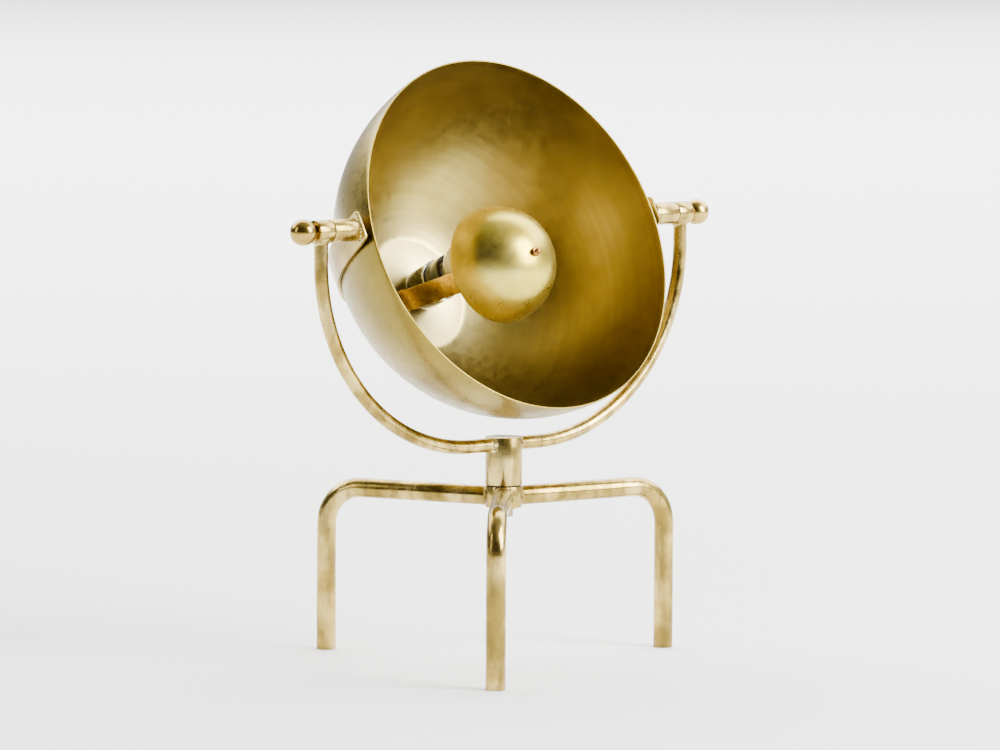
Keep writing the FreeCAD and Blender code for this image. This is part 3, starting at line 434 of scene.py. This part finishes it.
def plain(name, colours, roughness, metallic=0.0, grain_mm=4.0, bump=0.1):
    """A finish with a soft grain in colour and roughness."""
    material, tree, surface = new_material(name)
    surface.inputs["Metallic"].default_value = metallic
    space = pattern_space(tree)
    grain = cloud(tree, space, grain_mm, low=0.35, high=0.65)
    colour = ramp(tree, grain, (0.0, colours[0]), (1.0, colours[1]))
    tree.links.new(colour, surface.inputs["Base Color"])
    blur = add(tree, "ShaderNodeMapRange", {"To Min": roughness[0], "To Max": roughness[1]},
               {"Value": grain})
    tree.links.new(blur.outputs["Result"], surface.inputs["Roughness"])
    fine = add(tree, "ShaderNodeTexNoise", {"Scale": per_metre(FINE_GRAIN_MM)}, {"Vector": space})
    tooth = add(tree, "ShaderNodeBump", {"Strength": bump, "Distance": FINE_GRAIN_DEPTH},
                {"Height": fine.outputs["Fac"]})
    tree.links.new(tooth.outputs["Normal"], surface.inputs["Normal"])
    return material, surface


# Bolts and washers, brass plated: a greyer, colder yellow than solid brass.
brassed_steel = plain("brass_plated_steel", ("#93835A", "#B5A678"), (0.28, 0.42), metallic=1.0)[0]
# The lampholder's cap, bronzed: dark olive metal with a satin light.
bronzed_steel = plain("bronzed_steel_satin", ("#3A3620", "#575232"), (0.22, 0.36), metallic=1.0)[0]
# The lampholder's ring, chromed: a sharp bright line.
chrome_trim = plain("chromed_steel_bright", ("#C6C3B8", "#DEDCD2"), (0.08, 0.16), metallic=1.0)[0]
# The shield's nut and bolt, copper flashed: brown with a reddish light.
copper_nut = plain("copper_flashed_steel", ("#77491F", "#A5763C"), (0.25, 0.4), metallic=1.0,
                   grain_mm=2.0)[0]
# Washers pressed from fibre: matt black without a highlight.
dark_fibre = plain("pressed_fibre_black", ("#15120E", "#2A241C"), (0.7, 0.9), grain_mm=1.5,
                   bump=0.4)[0]
# The insulator, glazed: creamy white with a wet shine.
ceramic = plain("glazed_ceramic", ("#D9D4C6", "#ECE8DC"), (0.12, 0.2))[0]
# The socket's skirt, moulded: black with the gloss of the mould.
phenolic, phenolic_surface = plain("moulded_black_phenolic", ("#0C0C0D", "#1A1918"), (0.10, 0.18))
phenolic_surface.inputs["Coat Weight"].default_value = 0.3
# The bulb, blown from milky glass: white, smooth, and a little light comes through.
opal, opal_surface = plain("opal_blown_glass", ("#EFEDE4", "#F8F6F0"), (0.06, 0.12), grain_mm=8.0,
                           bump=0.02)
opal_surface.inputs["Transmission Weight"].default_value = 0.35
opal_surface.inputs["IOR"].default_value = 1.5
print("materials in all", len(bpy.data.materials))

# %% [markdown]
# Most pieces of a lamp like this come off a lathe. Blender's Screw modifier could spin them,
# but operators keep the mesh at hand for the next step. The lathe spins an outline round the
# upright axis. The softener bevels every sharp edge, because no real edge is perfectly sharp
# and it is the bevel that catches the light. The finisher carries the mesh to its place and
# lets it ride on its body.

# %% Lathe, softener and finisher
SHARP = math.radians(28)
SAME_PLACE = 0.001 * MM


def pick(made, kind):
    """The vertices or the edges among what an operator made."""
    return [g for g in made if isinstance(g, kind)]


def outline(bm, points):
    """A few vertices joined by edges in the XZ plane: each point is (radius, height)."""
    verts = [bm.verts.new((x, 0, z)) for x, z in points]
    for first, second in zip(verts, verts[1:]):
        bm.edges.new((first, second))
    return verts


def lathe(bm, steps):
    """Spin everything that is there round the Z axis, and close the seam and the poles."""
    bmesh.ops.spin(bm, geom=bm.verts[:] + bm.edges[:], cent=(0, 0, 0), axis=(0, 0, 1),
                   dvec=(0, 0, 0), angle=FULL_TURN, steps=steps, use_merge=True, use_duplicate=False)
    bmesh.ops.remove_doubles(bm, verts=bm.verts, dist=SAME_PLACE)
    bmesh.ops.recalc_face_normals(bm, faces=bm.faces)


def look_outwards(bm):
    """Turn the faces of an open shell away from the origin, before it gets its wall."""
    if bm.faces[0].normal.dot(bm.faces[0].calc_center_median()) < 0:
        bmesh.ops.reverse_faces(bm, faces=bm.faces)


def soften(bm, width, segments=2):
    """Bevel every edge that is sharp."""
    sharp = [e for e in bm.edges if e.is_manifold and e.calc_face_angle(0) > SHARP]
    bmesh.ops.bevel(bm, geom=sharp, offset=width, affect="EDGES", segments=segments, profile=0.5,
                    material=-1, clamp_overlap=True)


def arc_of(bm, vert, centre, degrees, steps):
    """Spin a vertex of an outline about a point in its plane, and return the last vertex."""
    made = bmesh.ops.spin(bm, geom=[vert], cent=centre, axis=(0, 1, 0), dvec=(0, 0, 0),
                          angle=math.radians(degrees), steps=steps, use_merge=False,
                          use_duplicate=False)["geom_last"]
    return pick(made, bmesh.types.BMVert)[0]


def finished(name, bm, place, material, body, slot, *nodes):
    """Carry a mesh to its place and make it a piece of the lamp."""
    bmesh.ops.transform(bm, matrix=place, verts=bm.verts)
    mesh = bpy.data.meshes.new(name)
    bm.to_mesh(mesh)
    bm.free()
    mesh.polygons.foreach_set("use_smooth", [True] * len(mesh.polygons))
    mesh.set_sharp_from_angle(angle=SHARP)
    item = bpy.data.objects.new(name, mesh)
    bpy.context.scene.collection.objects.link(item)
    mesh.materials.append(material)
    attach(item, body)
    if nodes:
        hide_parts(*nodes)
    print("%-22s %6d faces" % (name, len(mesh.polygons)))
    return item


print("edges sharper than", round(math.degrees(SHARP)), "degrees are softened")

# %% [markdown]
# The dome is one sheet of brass. A ready-made sphere could be cut in half, but its flat crown
# would still need its bend. So one vertex at the rim is spun down the sphere to the crown, an
# edge runs in to the hole of the hollow rod, and the line is spun round the axis. The corner at
# the crown is bevelled into its bend before the wall gets its thickness, so both sides of the
# sheet follow. The inside faces, which look towards the dome's centre, get the inside finish.

# %% Dome
WALL = 1.2 * MM
SHEET_EDGE = 0.3 * MM
CROWN_BEND_REACH = 2.6 * MM   # how far the round of the crown reaches each way from its corner
ROD_HOLE = 5.15 * MM
ON_CROWN = 0.01 * MM

bm = bmesh.new()
crown_angle = math.degrees(math.asin(dome_depth / dome_radius))
rim = bm.verts.new((dome_radius, 0, 0))
corner = arc_of(bm, rim, (0, 0, 0), crown_angle, steps=54)
hole = bm.verts.new((ROD_HOLE, 0, -dome_depth))
bm.edges.new((corner, hole))
lathe(bm, steps=192)
crown_ring = [e for e in bm.edges if all(abs(v.co.z + dome_depth) < ON_CROWN for v in e.verts)
              and all(math.hypot(*v.co.xy) > 2 * ROD_HOLE for v in e.verts)]
bmesh.ops.bevel(bm, geom=crown_ring, offset=CROWN_BEND_REACH, affect="EDGES", segments=5,
                profile=0.5, material=-1)
bmesh.ops.recalc_face_normals(bm, faces=bm.faces)
look_outwards(bm)
bmesh.ops.solidify(bm, geom=bm.faces[:], thickness=WALL)
soften(bm, SHEET_EDGE)
inside_faces = [f for f in bm.faces if f.normal.dot(f.calc_center_median()) < 0]
for face in inside_faces:
    face.material_index = 1
dome = finished("dome", bm, dome_place, dome_outside, "shade", "spun_brass", "shade_dome")
dome.data.materials.append(dome_inside)
print("inside faces", len(inside_faces))

# %% [markdown]
# The bowl shield is a smaller half sphere on a screw, spun from the same sheet, so it is made
# as the dome is, down to its small screw hole. It hangs a few degrees below the dome's axis, at
# the end of a bent strip.

# %% Bowl shield
SHIELD_DROOP = math.radians(7.7)
SCREW_HOLE = 2.6 * MM
crown_inside = dome_place @ up_by(WALL - dome_depth)
shield_axis_place = crown_inside @ Matrix.Rotation(SHIELD_DROOP, 4, "X")
shield_low, shield_high = span("shield_bowl", shield_axis_place)
shield_place = shield_axis_place @ up_by(shield_low.z)
shield_radius = shield_high.x

bm = bmesh.new()
rim = bm.verts.new((shield_radius, 0, 0))
pole_angle = math.degrees(math.acos(SCREW_HOLE / shield_radius))
arc_of(bm, rim, (0, 0, 0), -pole_angle, steps=40)
lathe(bm, steps=128)
look_outwards(bm)
bmesh.ops.solidify(bm, geom=bm.faces[:], thickness=WALL)
soften(bm, SHEET_EDGE)
finished("bowl_shield", bm, shield_place, shield_brass, "shade", "shield_brass", "shield_bowl")

# %% [markdown]
# The strip that carries the shield and the strap behind the dome are flat bars, sawn, bent and
# drilled, and the spacers are tubes cut to fit the strap. Each could be swept again, but the
# model's own solids have their exact bends and cuts. So a copy of each is merged, its flat
# faces are joined, and its edges are softened: the thin bright line along a bar is the light in
# that bevel.

# %% Bars and spacers
STRIP_EDGE, STRAP_EDGE = 0.35 * MM, 0.5 * MM
MERGE_WITHIN = 0.01 * MM
FLAT_WITHIN = math.radians(0.6)


def softened_copy(name, node, width, material, body, slot):
    """A copy of a node's mesh, merged, with its flat faces joined and its edges bevelled."""
    bm = bmesh.new()
    bm.from_mesh(frame["nodes"][node].data)
    bmesh.ops.remove_doubles(bm, verts=bm.verts, dist=MERGE_WITHIN)
    bmesh.ops.dissolve_limit(bm, angle_limit=FLAT_WITHIN, verts=bm.verts, edges=bm.edges)
    soften(bm, width)
    finished(name, bm, Matrix(), material, body, slot, node)


softened_copy("shield_strip", "shield_bracket", STRIP_EDGE, strip_brass, "shade", "strip_brass")
softened_copy("back_bar", "back_strap", STRAP_EDGE, strap_brass, "shade", "champagne_brass")
for side in ("left", "right"):
    softened_copy("spacer_tube_" + side, "spacer_" + side, STRAP_EDGE, champagne_brass, "shade",
                  "champagne_brass")

# %% [markdown]
# Tube is bent round a former, straight runs with a round bend between them. A curve object with
# a round bevel would look alike, but here the ring of edges itself is carried along: extruded on
# a run, spun on a bend. So it can be closed, widened or cut like any mesh.

# %% Bender
BEND_STEP, FEWEST_BEND_STEPS = 2.5, 6   # degrees that a facet of a bend covers, fewest facets


def next_ring(bm, ring):
    """Extrude a ring of edges where it lies, and return the new vertices and the new ring."""
    made = bmesh.ops.extrude_edge_only(bm, edges=ring)["geom"]
    verts = pick(made, bmesh.types.BMVert)
    known = set(verts)
    return verts, [e for e in pick(made, bmesh.types.BMEdge) if known >= set(e.verts)]


def sweep(bm, ring, start, heading, turn_axis, path):
    """Carry a ring of edges along runs, (length,), and bends, (radius, degrees)."""
    at, heading, turn_axis = Vector(start), Vector(heading), Vector(turn_axis)
    for move in path:
        if len(move) == 1:
            verts, ring = next_ring(bm, ring)
            bmesh.ops.translate(bm, verts=verts, vec=heading * move[0])
            at = at + heading * move[0]
        else:
            radius, angle = move[0], math.radians(move[1])
            centre = at + turn_axis.cross(heading) * math.copysign(radius, angle)
            verts = list({v for e in ring for v in e.verts})
            steps = max(FEWEST_BEND_STEPS, int(abs(move[1]) / BEND_STEP))
            made = bmesh.ops.spin(bm, geom=verts + ring, cent=centre, axis=turn_axis,
                                  dvec=(0, 0, 0), angle=angle, steps=steps, use_merge=False,
                                  use_duplicate=False)["geom_last"]
            ring = pick(made, bmesh.types.BMEdge)
            turn = Matrix.Rotation(angle, 3, turn_axis)
            at, heading = centre + turn @ (at - centre), turn @ heading
    return ring


print("a quarter bend has", int(90 / BEND_STEP), "facets")

# %% [markdown]
# The legs are tube, bent once each. A closed end would do from afar, but the cut at the foot
# shows. So the ring starts inside the bore, comes down to the foot and widens there, and the cut
# shows the tube's wall round its plug. Then it goes up the outside, round the bend and along the
# level part into the collar.

# %% Legs
LEG_TUBE, LEG_WALL, LEG_BEND = 19.0 * MM, 1.5 * MM, 38.0 * MM
LEG_SIDES = 48
PLUG_DEEP = 12.0 * MM
CUT_EDGE = 0.35 * MM
collar_low, collar_high = span("base_collar", Matrix())
collar_radius = collar_high.x
leg_height = (collar_low.z + collar_high.z) / 2
leg_bore = LEG_TUBE / 2 - LEG_WALL
for side in ("front", "right", "left"):
    foot = Vector(mounts["foot_" + side]["pos_m"])
    level_run = foot.length - LEG_BEND - collar_radius / 2
    bm = bmesh.new()
    made = bmesh.ops.create_circle(bm, cap_ends=True, segments=LEG_SIDES, radius=leg_bore)
    bmesh.ops.translate(bm, verts=made["verts"], vec=(0, 0, PLUG_DEEP))
    ring = sweep(bm, bm.edges[:], (0, 0, PLUG_DEEP), (0, 0, -1), (0, 1, 0), [(PLUG_DEEP,)])
    rim, ring = next_ring(bm, ring)
    grow = LEG_TUBE / 2 / leg_bore
    bmesh.ops.scale(bm, vec=(grow, grow, 1), verts=rim)
    ring = sweep(bm, ring, (0, 0, 0), (0, 0, 1), (0, -1, 0),
                 [(leg_height - LEG_BEND,), (LEG_BEND, 90), (level_run,)])
    bmesh.ops.edgeloop_fill(bm, edges=ring)
    bmesh.ops.recalc_face_normals(bm, faces=bm.faces)
    soften(bm, CUT_EDGE)
    finished("bent_leg_" + side, bm, axes(foot, foot, UP), champagne_brass, "stand",
             "champagne_brass", "leg_" + side)

# %% [markdown]
# Each half of the yoke is a thinner tube in one wide bend, from the eye down and in to the
# collar. The two halves could be one mesh, but they are brazed to the collar as two tubes, so
# they are two pieces. Both ends go into other brass, so they are simply closed.

# %% Yoke
YOKE_TUBE, YOKE_BEND = 13.5 * MM, 186.0 * MM
ARM_SIDES = 40
SIDES = (("left", -1), ("right", 1))
arm_low, arm_high = span("yoke_arm_right", yoke_place)
half_span = arm_high.x - YOKE_TUBE / 2
yoke_low = arm_low.z + YOKE_TUBE / 2
eye_low, eye_high = span("yoke_eye_right", yoke_place)
eye_radius = (eye_high.z - eye_low.z) / 2
arm_top = pivot.z - eye_radius / 2
level_run = half_span - YOKE_BEND - collar_radius / 2
for side, sign in SIDES:
    bm = bmesh.new()
    bmesh.ops.create_circle(bm, cap_ends=True, segments=ARM_SIDES, radius=YOKE_TUBE / 2)
    ring = sweep(bm, bm.edges[:], (0, 0, 0), (0, 0, -1), (0, 1, 0),
                 [(arm_top - yoke_low - YOKE_BEND,), (YOKE_BEND, 90), (level_run,)])
    bmesh.ops.edgeloop_fill(bm, edges=ring)
    bmesh.ops.recalc_face_normals(bm, faces=bm.faces)
    turned = Matrix.Rotation(0 if sign > 0 else math.pi, 4, "Z")
    arm_place = yoke_place @ turned @ Matrix.Translation((half_span, 0, arm_top))
    finished("bent_arm_" + side, bm, arm_place, champagne_brass, "yoke", "champagne_brass",
             "yoke_arm_" + side)

# %% [markdown]
# Two collars hold the lamp together: the legs are brazed to the lower one, the yoke to the
# upper one, which turns on a bolt. They were turned from bar. A plain cylinder has edges like a
# knife, so each is an outline of its half section, spun and softened like turned brass.

# %% Collars


def turned_piece(name, points, edge, place, material, body, slot, *nodes, steps=64):
    """Spin an outline, soften its edges and make it a piece."""
    bm = bmesh.new()
    outline(bm, points)
    lathe(bm, steps)
    soften(bm, edge)
    finished(name, bm, place, material, body, slot, *nodes)


BOLT_HOLE = 5.05 * MM
HOLE_PAST_BOLT = BOLT_HOLE / 10
EDGE_BREAK = 0.8 * MM
turned_piece("lower_collar", [
    (BOLT_HOLE, collar_low.z), (collar_radius, collar_low.z), (collar_radius, collar_high.z),
    (BOLT_HOLE, collar_high.z), (BOLT_HOLE, collar_low.z),
], EDGE_BREAK, Matrix(), champagne_brass, "stand", "champagne_brass", "base_collar")
upper_low, upper_high = span("yoke_collar", Matrix())
bore_top = span("swivel_bolt", Matrix())[1].z + HOLE_PAST_BOLT
turned_piece("upper_collar", [
    (0, bore_top), (BOLT_HOLE, bore_top), (BOLT_HOLE, upper_low.z),
    (collar_radius, upper_low.z), (collar_radius, upper_high.z), (0, upper_high.z),
], EDGE_BREAK, Matrix(), champagne_brass, "yoke", "champagne_brass", "yoke_collar")

# %% [markdown]
# The eyes are short sleeves on the yoke's ends, and a ball knob outside each clamps the tilt.
# Ready-made spheres have no seat, so each ball is a vertex spun from its pole to the flat where
# it sits on the eye. From there the line runs up the bore for the stud.

# %% Eyes and ball knobs
KNOB_RADIUS, KNOB_SEAT = 12.7 * MM, 6.0 * MM
STUD_RADIUS, KNOB_BORE = 4.0 * MM, 12.5 * MM
EYE_EDGE = 0.7 * MM
seat_angle = 180 - math.degrees(math.asin(KNOB_SEAT / KNOB_RADIUS))
for side, sign in SIDES:
    outwards = axes(pivot, UP.cross(to_right_knob), to_right_knob * sign)
    low, high = span("yoke_eye_" + side, outwards)
    turned_piece("pivot_eye_" + side, [
        (STUD_RADIUS, low.z), (eye_radius, low.z), (eye_radius, high.z), (STUD_RADIUS, high.z),
        (STUD_RADIUS, low.z),
    ], EYE_EDGE, outwards, champagne_brass, "yoke", "champagne_brass", "yoke_eye_" + side)
    low, high = span("knob_" + side, outwards)
    bm = bmesh.new()
    pole = bm.verts.new((0, 0, high.z))
    last = arc_of(bm, pole, (0, 0, high.z - KNOB_RADIUS), seat_angle, steps=30)
    bore_end = low.z + KNOB_BORE
    seat = outline(bm, [(last.co.x, low.z), (STUD_RADIUS, low.z), (STUD_RADIUS, bore_end),
                        (0, bore_end)])
    bm.edges.new((last, seat[0]))
    lathe(bm, steps=64)
    finished("ball_knob_" + side, bm, outwards, ball_brass, side + "_knob", "champagne_brass",
             "knob_" + side)

# %% [markdown]
# Every joint between the tubes was brazed: brass rod melted into the corner and left as it
# froze, a fillet of uneven width with pits. A bevel across the joint would be too even. Here a
# ring of vertices lies round the tube on the surface it meets, and is drawn in steps up the
# tube while noise pushes each vertex about. Its last ring goes back into the corner, so the
# fillet closes inside the joint. The ears of the strap get the same fillet on a slanted plane.

# %% Brazed fillets
FILLET_SIDES, FILLET_STEPS = 72, 7
FILLET_SINK = 0.15 * MM
FILLET_HOLLOW = 0.9   # under 1 makes the fillet a little fuller than a quarter circle
LUMPS, LUMP_SHARE = 2.3, 0.5   # how fine the lumps are, and how much they swell the fillet
PITS, PIT_SHARE = 7.0, 0.4
LEG_FILLET, ARM_FILLET, EYE_FILLET, EAR_FILLET = 2.0 * MM, 3.2 * MM, 3.0 * MM, 1.6 * MM
EAR_SLOPE = math.tan(math.radians(15))
# Each fillet reads its own slice of the noise: where a kind starts, and the step to its next.
LEG_SLICES, ARM_SLICES, EYE_SLICES, EAR_SLICES = (0.0, 3.1), (11.0, 4.7), (21.0, 5.3), (31.0, 3.7)


def braze(name, tube_radius, met_radius, half_length, size, place, body, slices, number, slope=0.0):
    """A fillet round a tube along local Z, on a cylinder along local X of that radius and length.

    With no radius it starts on a plane that rises along X by the slope."""
    bm = bmesh.new()
    bmesh.ops.create_circle(bm, segments=FILLET_SIDES, radius=1.0)
    start = bm.edges[:]
    ring, rings = start, [bm.verts[:]]
    for step in range(FILLET_STEPS + 1):
        verts, ring = next_ring(bm, ring)
        rings.append(verts)
    for step, verts in enumerate(rings):
        share = min(step / FILLET_STEPS, 1)
        outwards = (1 - math.sin(share * math.pi / 2)) ** FILLET_HOLLOW
        upwards = (1 - math.cos(share * math.pi / 2)) ** FILLET_HOLLOW if step <= FILLET_STEPS else 0
        for vert in verts:
            angle = math.atan2(vert.co.y, vert.co.x)
            here = Vector((math.cos(angle), math.sin(angle), slices[0] + number * slices[1]))
            pit = noise.noise(here * PITS + Vector((0, 0, share * 2)))
            leg = size * (1 + LUMP_SHARE * noise.noise(here * LUMPS) + PIT_SHARE * pit)
            across = tube_radius + leg * outwards - FILLET_SINK / 3
            x, y = across * math.cos(angle), across * math.sin(angle)
            x = max(-half_length, min(half_length, x))
            base = math.sqrt(max(met_radius ** 2 - y ** 2, 0)) if met_radius else slope * x
            vert.co = (x, y, base + leg * upwards - FILLET_SINK)
    bmesh.ops.bridge_loops(bm, edges=start + ring)
    bmesh.ops.recalc_face_normals(bm, faces=bm.faces)
    finished(name, bm, place, braze_brass, body, "champagne_brass")


lower_half = (collar_high.z - collar_low.z) / 2 - FILLET_SINK
upper_half = upper_high.z - yoke_low - FILLET_SINK
eye_half = (eye_high.x - eye_low.x) / 2 - FILLET_SINK
for number, side in enumerate(("front", "right", "left")):
    heading = Vector(mounts["foot_" + side]["pos_m"])
    braze("braze_leg_" + side, LEG_TUBE / 2, collar_radius, lower_half, LEG_FILLET,
          axes(UP * leg_height, UP, heading), "stand", LEG_SLICES, number)
for number, (side, sign) in enumerate(SIDES):
    braze("braze_arm_" + side, YOKE_TUBE / 2, collar_radius, upper_half, ARM_FILLET,
          axes(UP * yoke_low, UP, to_right_knob * sign), "yoke", ARM_SLICES, number)
    eye_middle = pivot + to_right_knob * sign * half_span
    braze("braze_eye_" + side, YOKE_TUBE / 2, eye_radius, eye_half, EYE_FILLET,
          axes(eye_middle, to_right_knob, -UP), "yoke", EYE_SLICES, number)
    outwards = axes(pivot, out_of_dome, to_right_knob * sign)
    low, high = span("spacer_" + side, outwards)
    ear = up_by(low.z + EAR_SLOPE * high.x)
    braze("braze_ear_" + side, high.x, 0.0, high.x * 2, EAR_FILLET, outwards @ ear, "shade",
          EAR_SLICES, number, slope=EAR_SLOPE)

# %% [markdown]
# A bolt through the strip holds the bowl, and its end shows in the middle with a hex nut. A
# bump could fake the thread, but its outline shows against the bowl. So it is a zigzag up the
# shank, one tooth for each turn of the pitch, spun round the axis. That makes rings and not a
# true thread, which nobody can tell at this size. The nut is a circle of six sides, drawn up
# and softened.

# %% Shield bolt and nut
SCREW_RADIUS, THREAD_PITCH, THREAD_DEPTH, THREAD_EDGE = 2.5 * MM, 0.8 * MM, 0.35 * MM, 0.1 * MM
PLAIN_END = 0.6 * MM
HEAD_RADIUS, HEAD_TOP_SHARE, HEAD_ROUND = 4.75 * MM, 0.7, 1.5 * MM
STRIP_THICKNESS = 2.0 * MM
NUT_EDGE = 0.35 * MM


def zigzag(outer, depth, low, high, pitch):
    """The outline of a thread from low to high."""
    teeth = max(1, round((high - low) / pitch))
    points = []
    for tooth in range(teeth):
        start = low + (high - low) * tooth / teeth
        points += [(outer - depth, start), (outer, start + (high - low) / teeth / 2)]
    return points + [(outer - depth, high)]


screw_low, screw_high = span("shield_screw", shield_axis_place)
nut_low, nut_high = span("shield_nut", shield_axis_place)
plate_back = span("shield_bracket", shield_axis_place)[1].z - STRIP_THICKNESS
head = [(0, screw_low.z), (HEAD_RADIUS * HEAD_TOP_SHARE, screw_low.z),
        (HEAD_RADIUS, screw_low.z + HEAD_ROUND), (HEAD_RADIUS, plate_back),
        (SCREW_RADIUS, plate_back)]
thread = zigzag(SCREW_RADIUS, THREAD_DEPTH, nut_low.z, screw_high.z - PLAIN_END, THREAD_PITCH)
turned_piece("shield_bolt", head + thread + [(0, screw_high.z)], THREAD_EDGE, shield_axis_place,
             copper_nut, "shade", "copper_nut", "shield_screw", steps=40)

bm = bmesh.new()
bmesh.ops.create_circle(bm, cap_ends=True, segments=6, radius=(nut_high.x - nut_low.x) / 2)
bmesh.ops.translate(bm, verts=bm.verts, vec=(0, 0, nut_low.z))
made = bmesh.ops.extrude_face_region(bm, geom=bm.faces[:])["geom"]
bmesh.ops.translate(bm, verts=pick(made, bmesh.types.BMVert), vec=(0, 0, nut_high.z - nut_low.z))
bmesh.ops.recalc_face_normals(bm, faces=bm.faces)
soften(bm, NUT_EDGE)
finished("shield_hex_nut", bm, shield_axis_place, copper_nut, "shade", "copper_nut", "shield_nut")

# %% [markdown]
# The lampholder is a pressed cap with a round shoulder, a bright ring, and a black skirt that
# was moulded in one with the socket. Three plain cylinders would show hard edges, so each is a
# spun outline. The cap's starts with an arc for its shoulder and comes back inside as its wall.

# %% Lampholder
CAP_FLAT, CAP_WALL, SHOULDER, CAP_EDGE = 8.5 * MM, 1.4 * MM, 12.0 * MM, 0.2 * MM
TRIM_DEPTH, TRIM_EDGE = 3.0 * MM, 0.6 * MM
SOCKET_BORE, SOCKET_FLOOR, CONTACT_HOLE = 14.4 * MM, 8.0 * MM, 4.0 * MM
SKIRT_STEP, SKIRT_EDGE = 4.0 * MM, 0.9 * MM
HOLDER_STEPS = 96
holder_low, holder_high = span("holder_cap", dome_place)
ring_low, ring_high = span("holder_ring", dome_place)
skirt_low, skirt_high = span("holder_socket", dome_place)

bm = bmesh.new()
flat = outline(bm, [(ROD_HOLE, holder_low.z), (CAP_FLAT, holder_low.z)])
last = arc_of(bm, flat[1], (CAP_FLAT, 0, holder_low.z + SHOULDER), -90, steps=12)
outline(bm, [(last.co.x, last.co.z), (holder_high.x, holder_high.z),
             (holder_high.x - CAP_WALL, holder_high.z), (holder_high.x - CAP_WALL, last.co.z),
             (CAP_FLAT, holder_low.z + CAP_WALL), (ROD_HOLE, holder_low.z + CAP_WALL),
             (ROD_HOLE, holder_low.z)])
bmesh.ops.remove_doubles(bm, verts=bm.verts, dist=SAME_PLACE)
lathe(bm, HOLDER_STEPS)
soften(bm, CAP_EDGE)
finished("holder_shell", bm, dome_place, bronzed_steel, "shade", "bronzed_steel", "holder_cap")

ring_inside = ring_high.x - TRIM_DEPTH
turned_piece("holder_bright_ring", [
    (ring_inside, ring_low.z), (ring_high.x, ring_low.z), (ring_high.x, ring_high.z),
    (ring_inside, ring_high.z), (ring_inside, ring_low.z),
], TRIM_EDGE, dome_place, chrome_trim, "shade", "chrome_trim", "holder_ring", steps=HOLDER_STEPS)

neck_radius = ring_high.x - SKIRT_STEP
floor_height = skirt_low.z + SOCKET_FLOOR
turned_piece("holder_skirt", [
    (SOCKET_BORE, floor_height), (SOCKET_BORE, skirt_high.z), (skirt_high.x, skirt_high.z),
    (skirt_high.x, ring_high.z), (neck_radius, ring_high.z), (neck_radius, skirt_low.z),
    (CONTACT_HOLE, skirt_low.z), (CONTACT_HOLE, floor_height), (SOCKET_BORE, floor_height),
], SKIRT_EDGE, dome_place, phenolic, "shade", "black_plastic", "holder_socket", steps=HOLDER_STEPS)

# %% [markdown]
# The bulb is a small golf-ball bulb in opal glass. A sphere joined to a cylinder would leave a
# crease, so its globe is spun from its pole and runs in one line into the neck.

# %% Bulb
NECK_RADIUS = 11.5 * MM
glass_low, glass_high = span("bulb_glass", dome_place)
globe_radius = glass_high.x
neck_angle = 180 - math.degrees(math.asin(NECK_RADIUS / globe_radius))
bm = bmesh.new()
pole = bm.verts.new((0, 0, glass_high.z))
last = arc_of(bm, pole, (0, 0, glass_high.z - globe_radius), neck_angle, steps=36)
neck = outline(bm, [(NECK_RADIUS, glass_low.z), (0, glass_low.z)])
bm.edges.new((last, neck[0]))
lathe(bm, steps=80)
finished("bulb_globe", bm, dome_place, opal, "shade", "opal_glass", "bulb_glass")

# %% [markdown]
# What is left are pieces that hardly show: washers, bolt, studs, the hollow rod with its nut
# and bushing, the contacts in the lampholder, and the plugs in the feet. They could be made
# again with softer edges, but nobody would see them. Their solids are right as they are, so
# they stay and only get their finishes. Nodes that were replaced are hidden, so any will do.

# %% Finishes of the pieces that stay
STAYING = {
    "foot_plugs": phenolic, "swivel_washer": dark_fibre, "pivot_washers": dark_fibre,
    "swivel_bolt": brassed_steel, "under_washer": brassed_steel, "spring_washer": brassed_steel,
    "pivot_stud_left": brassed_steel, "pivot_stud_right": brassed_steel, "cord_rod": brassed_steel,
    "rod_washer": brassed_steel, "rod_nut": brassed_steel, "cord_bushing": phenolic,
    "socket_insulator": ceramic, "socket_sleeve": socket_brass, "socket_contact": socket_brass,
    "bulb_cap": brassed_steel, "shield_spacer": socket_brass,
}
for node, item in frame["nodes"].items():
    item.data.materials.clear()
    item.data.materials.append(STAYING.get(node, champagne_brass))
print("pieces that stay", len(STAYING))
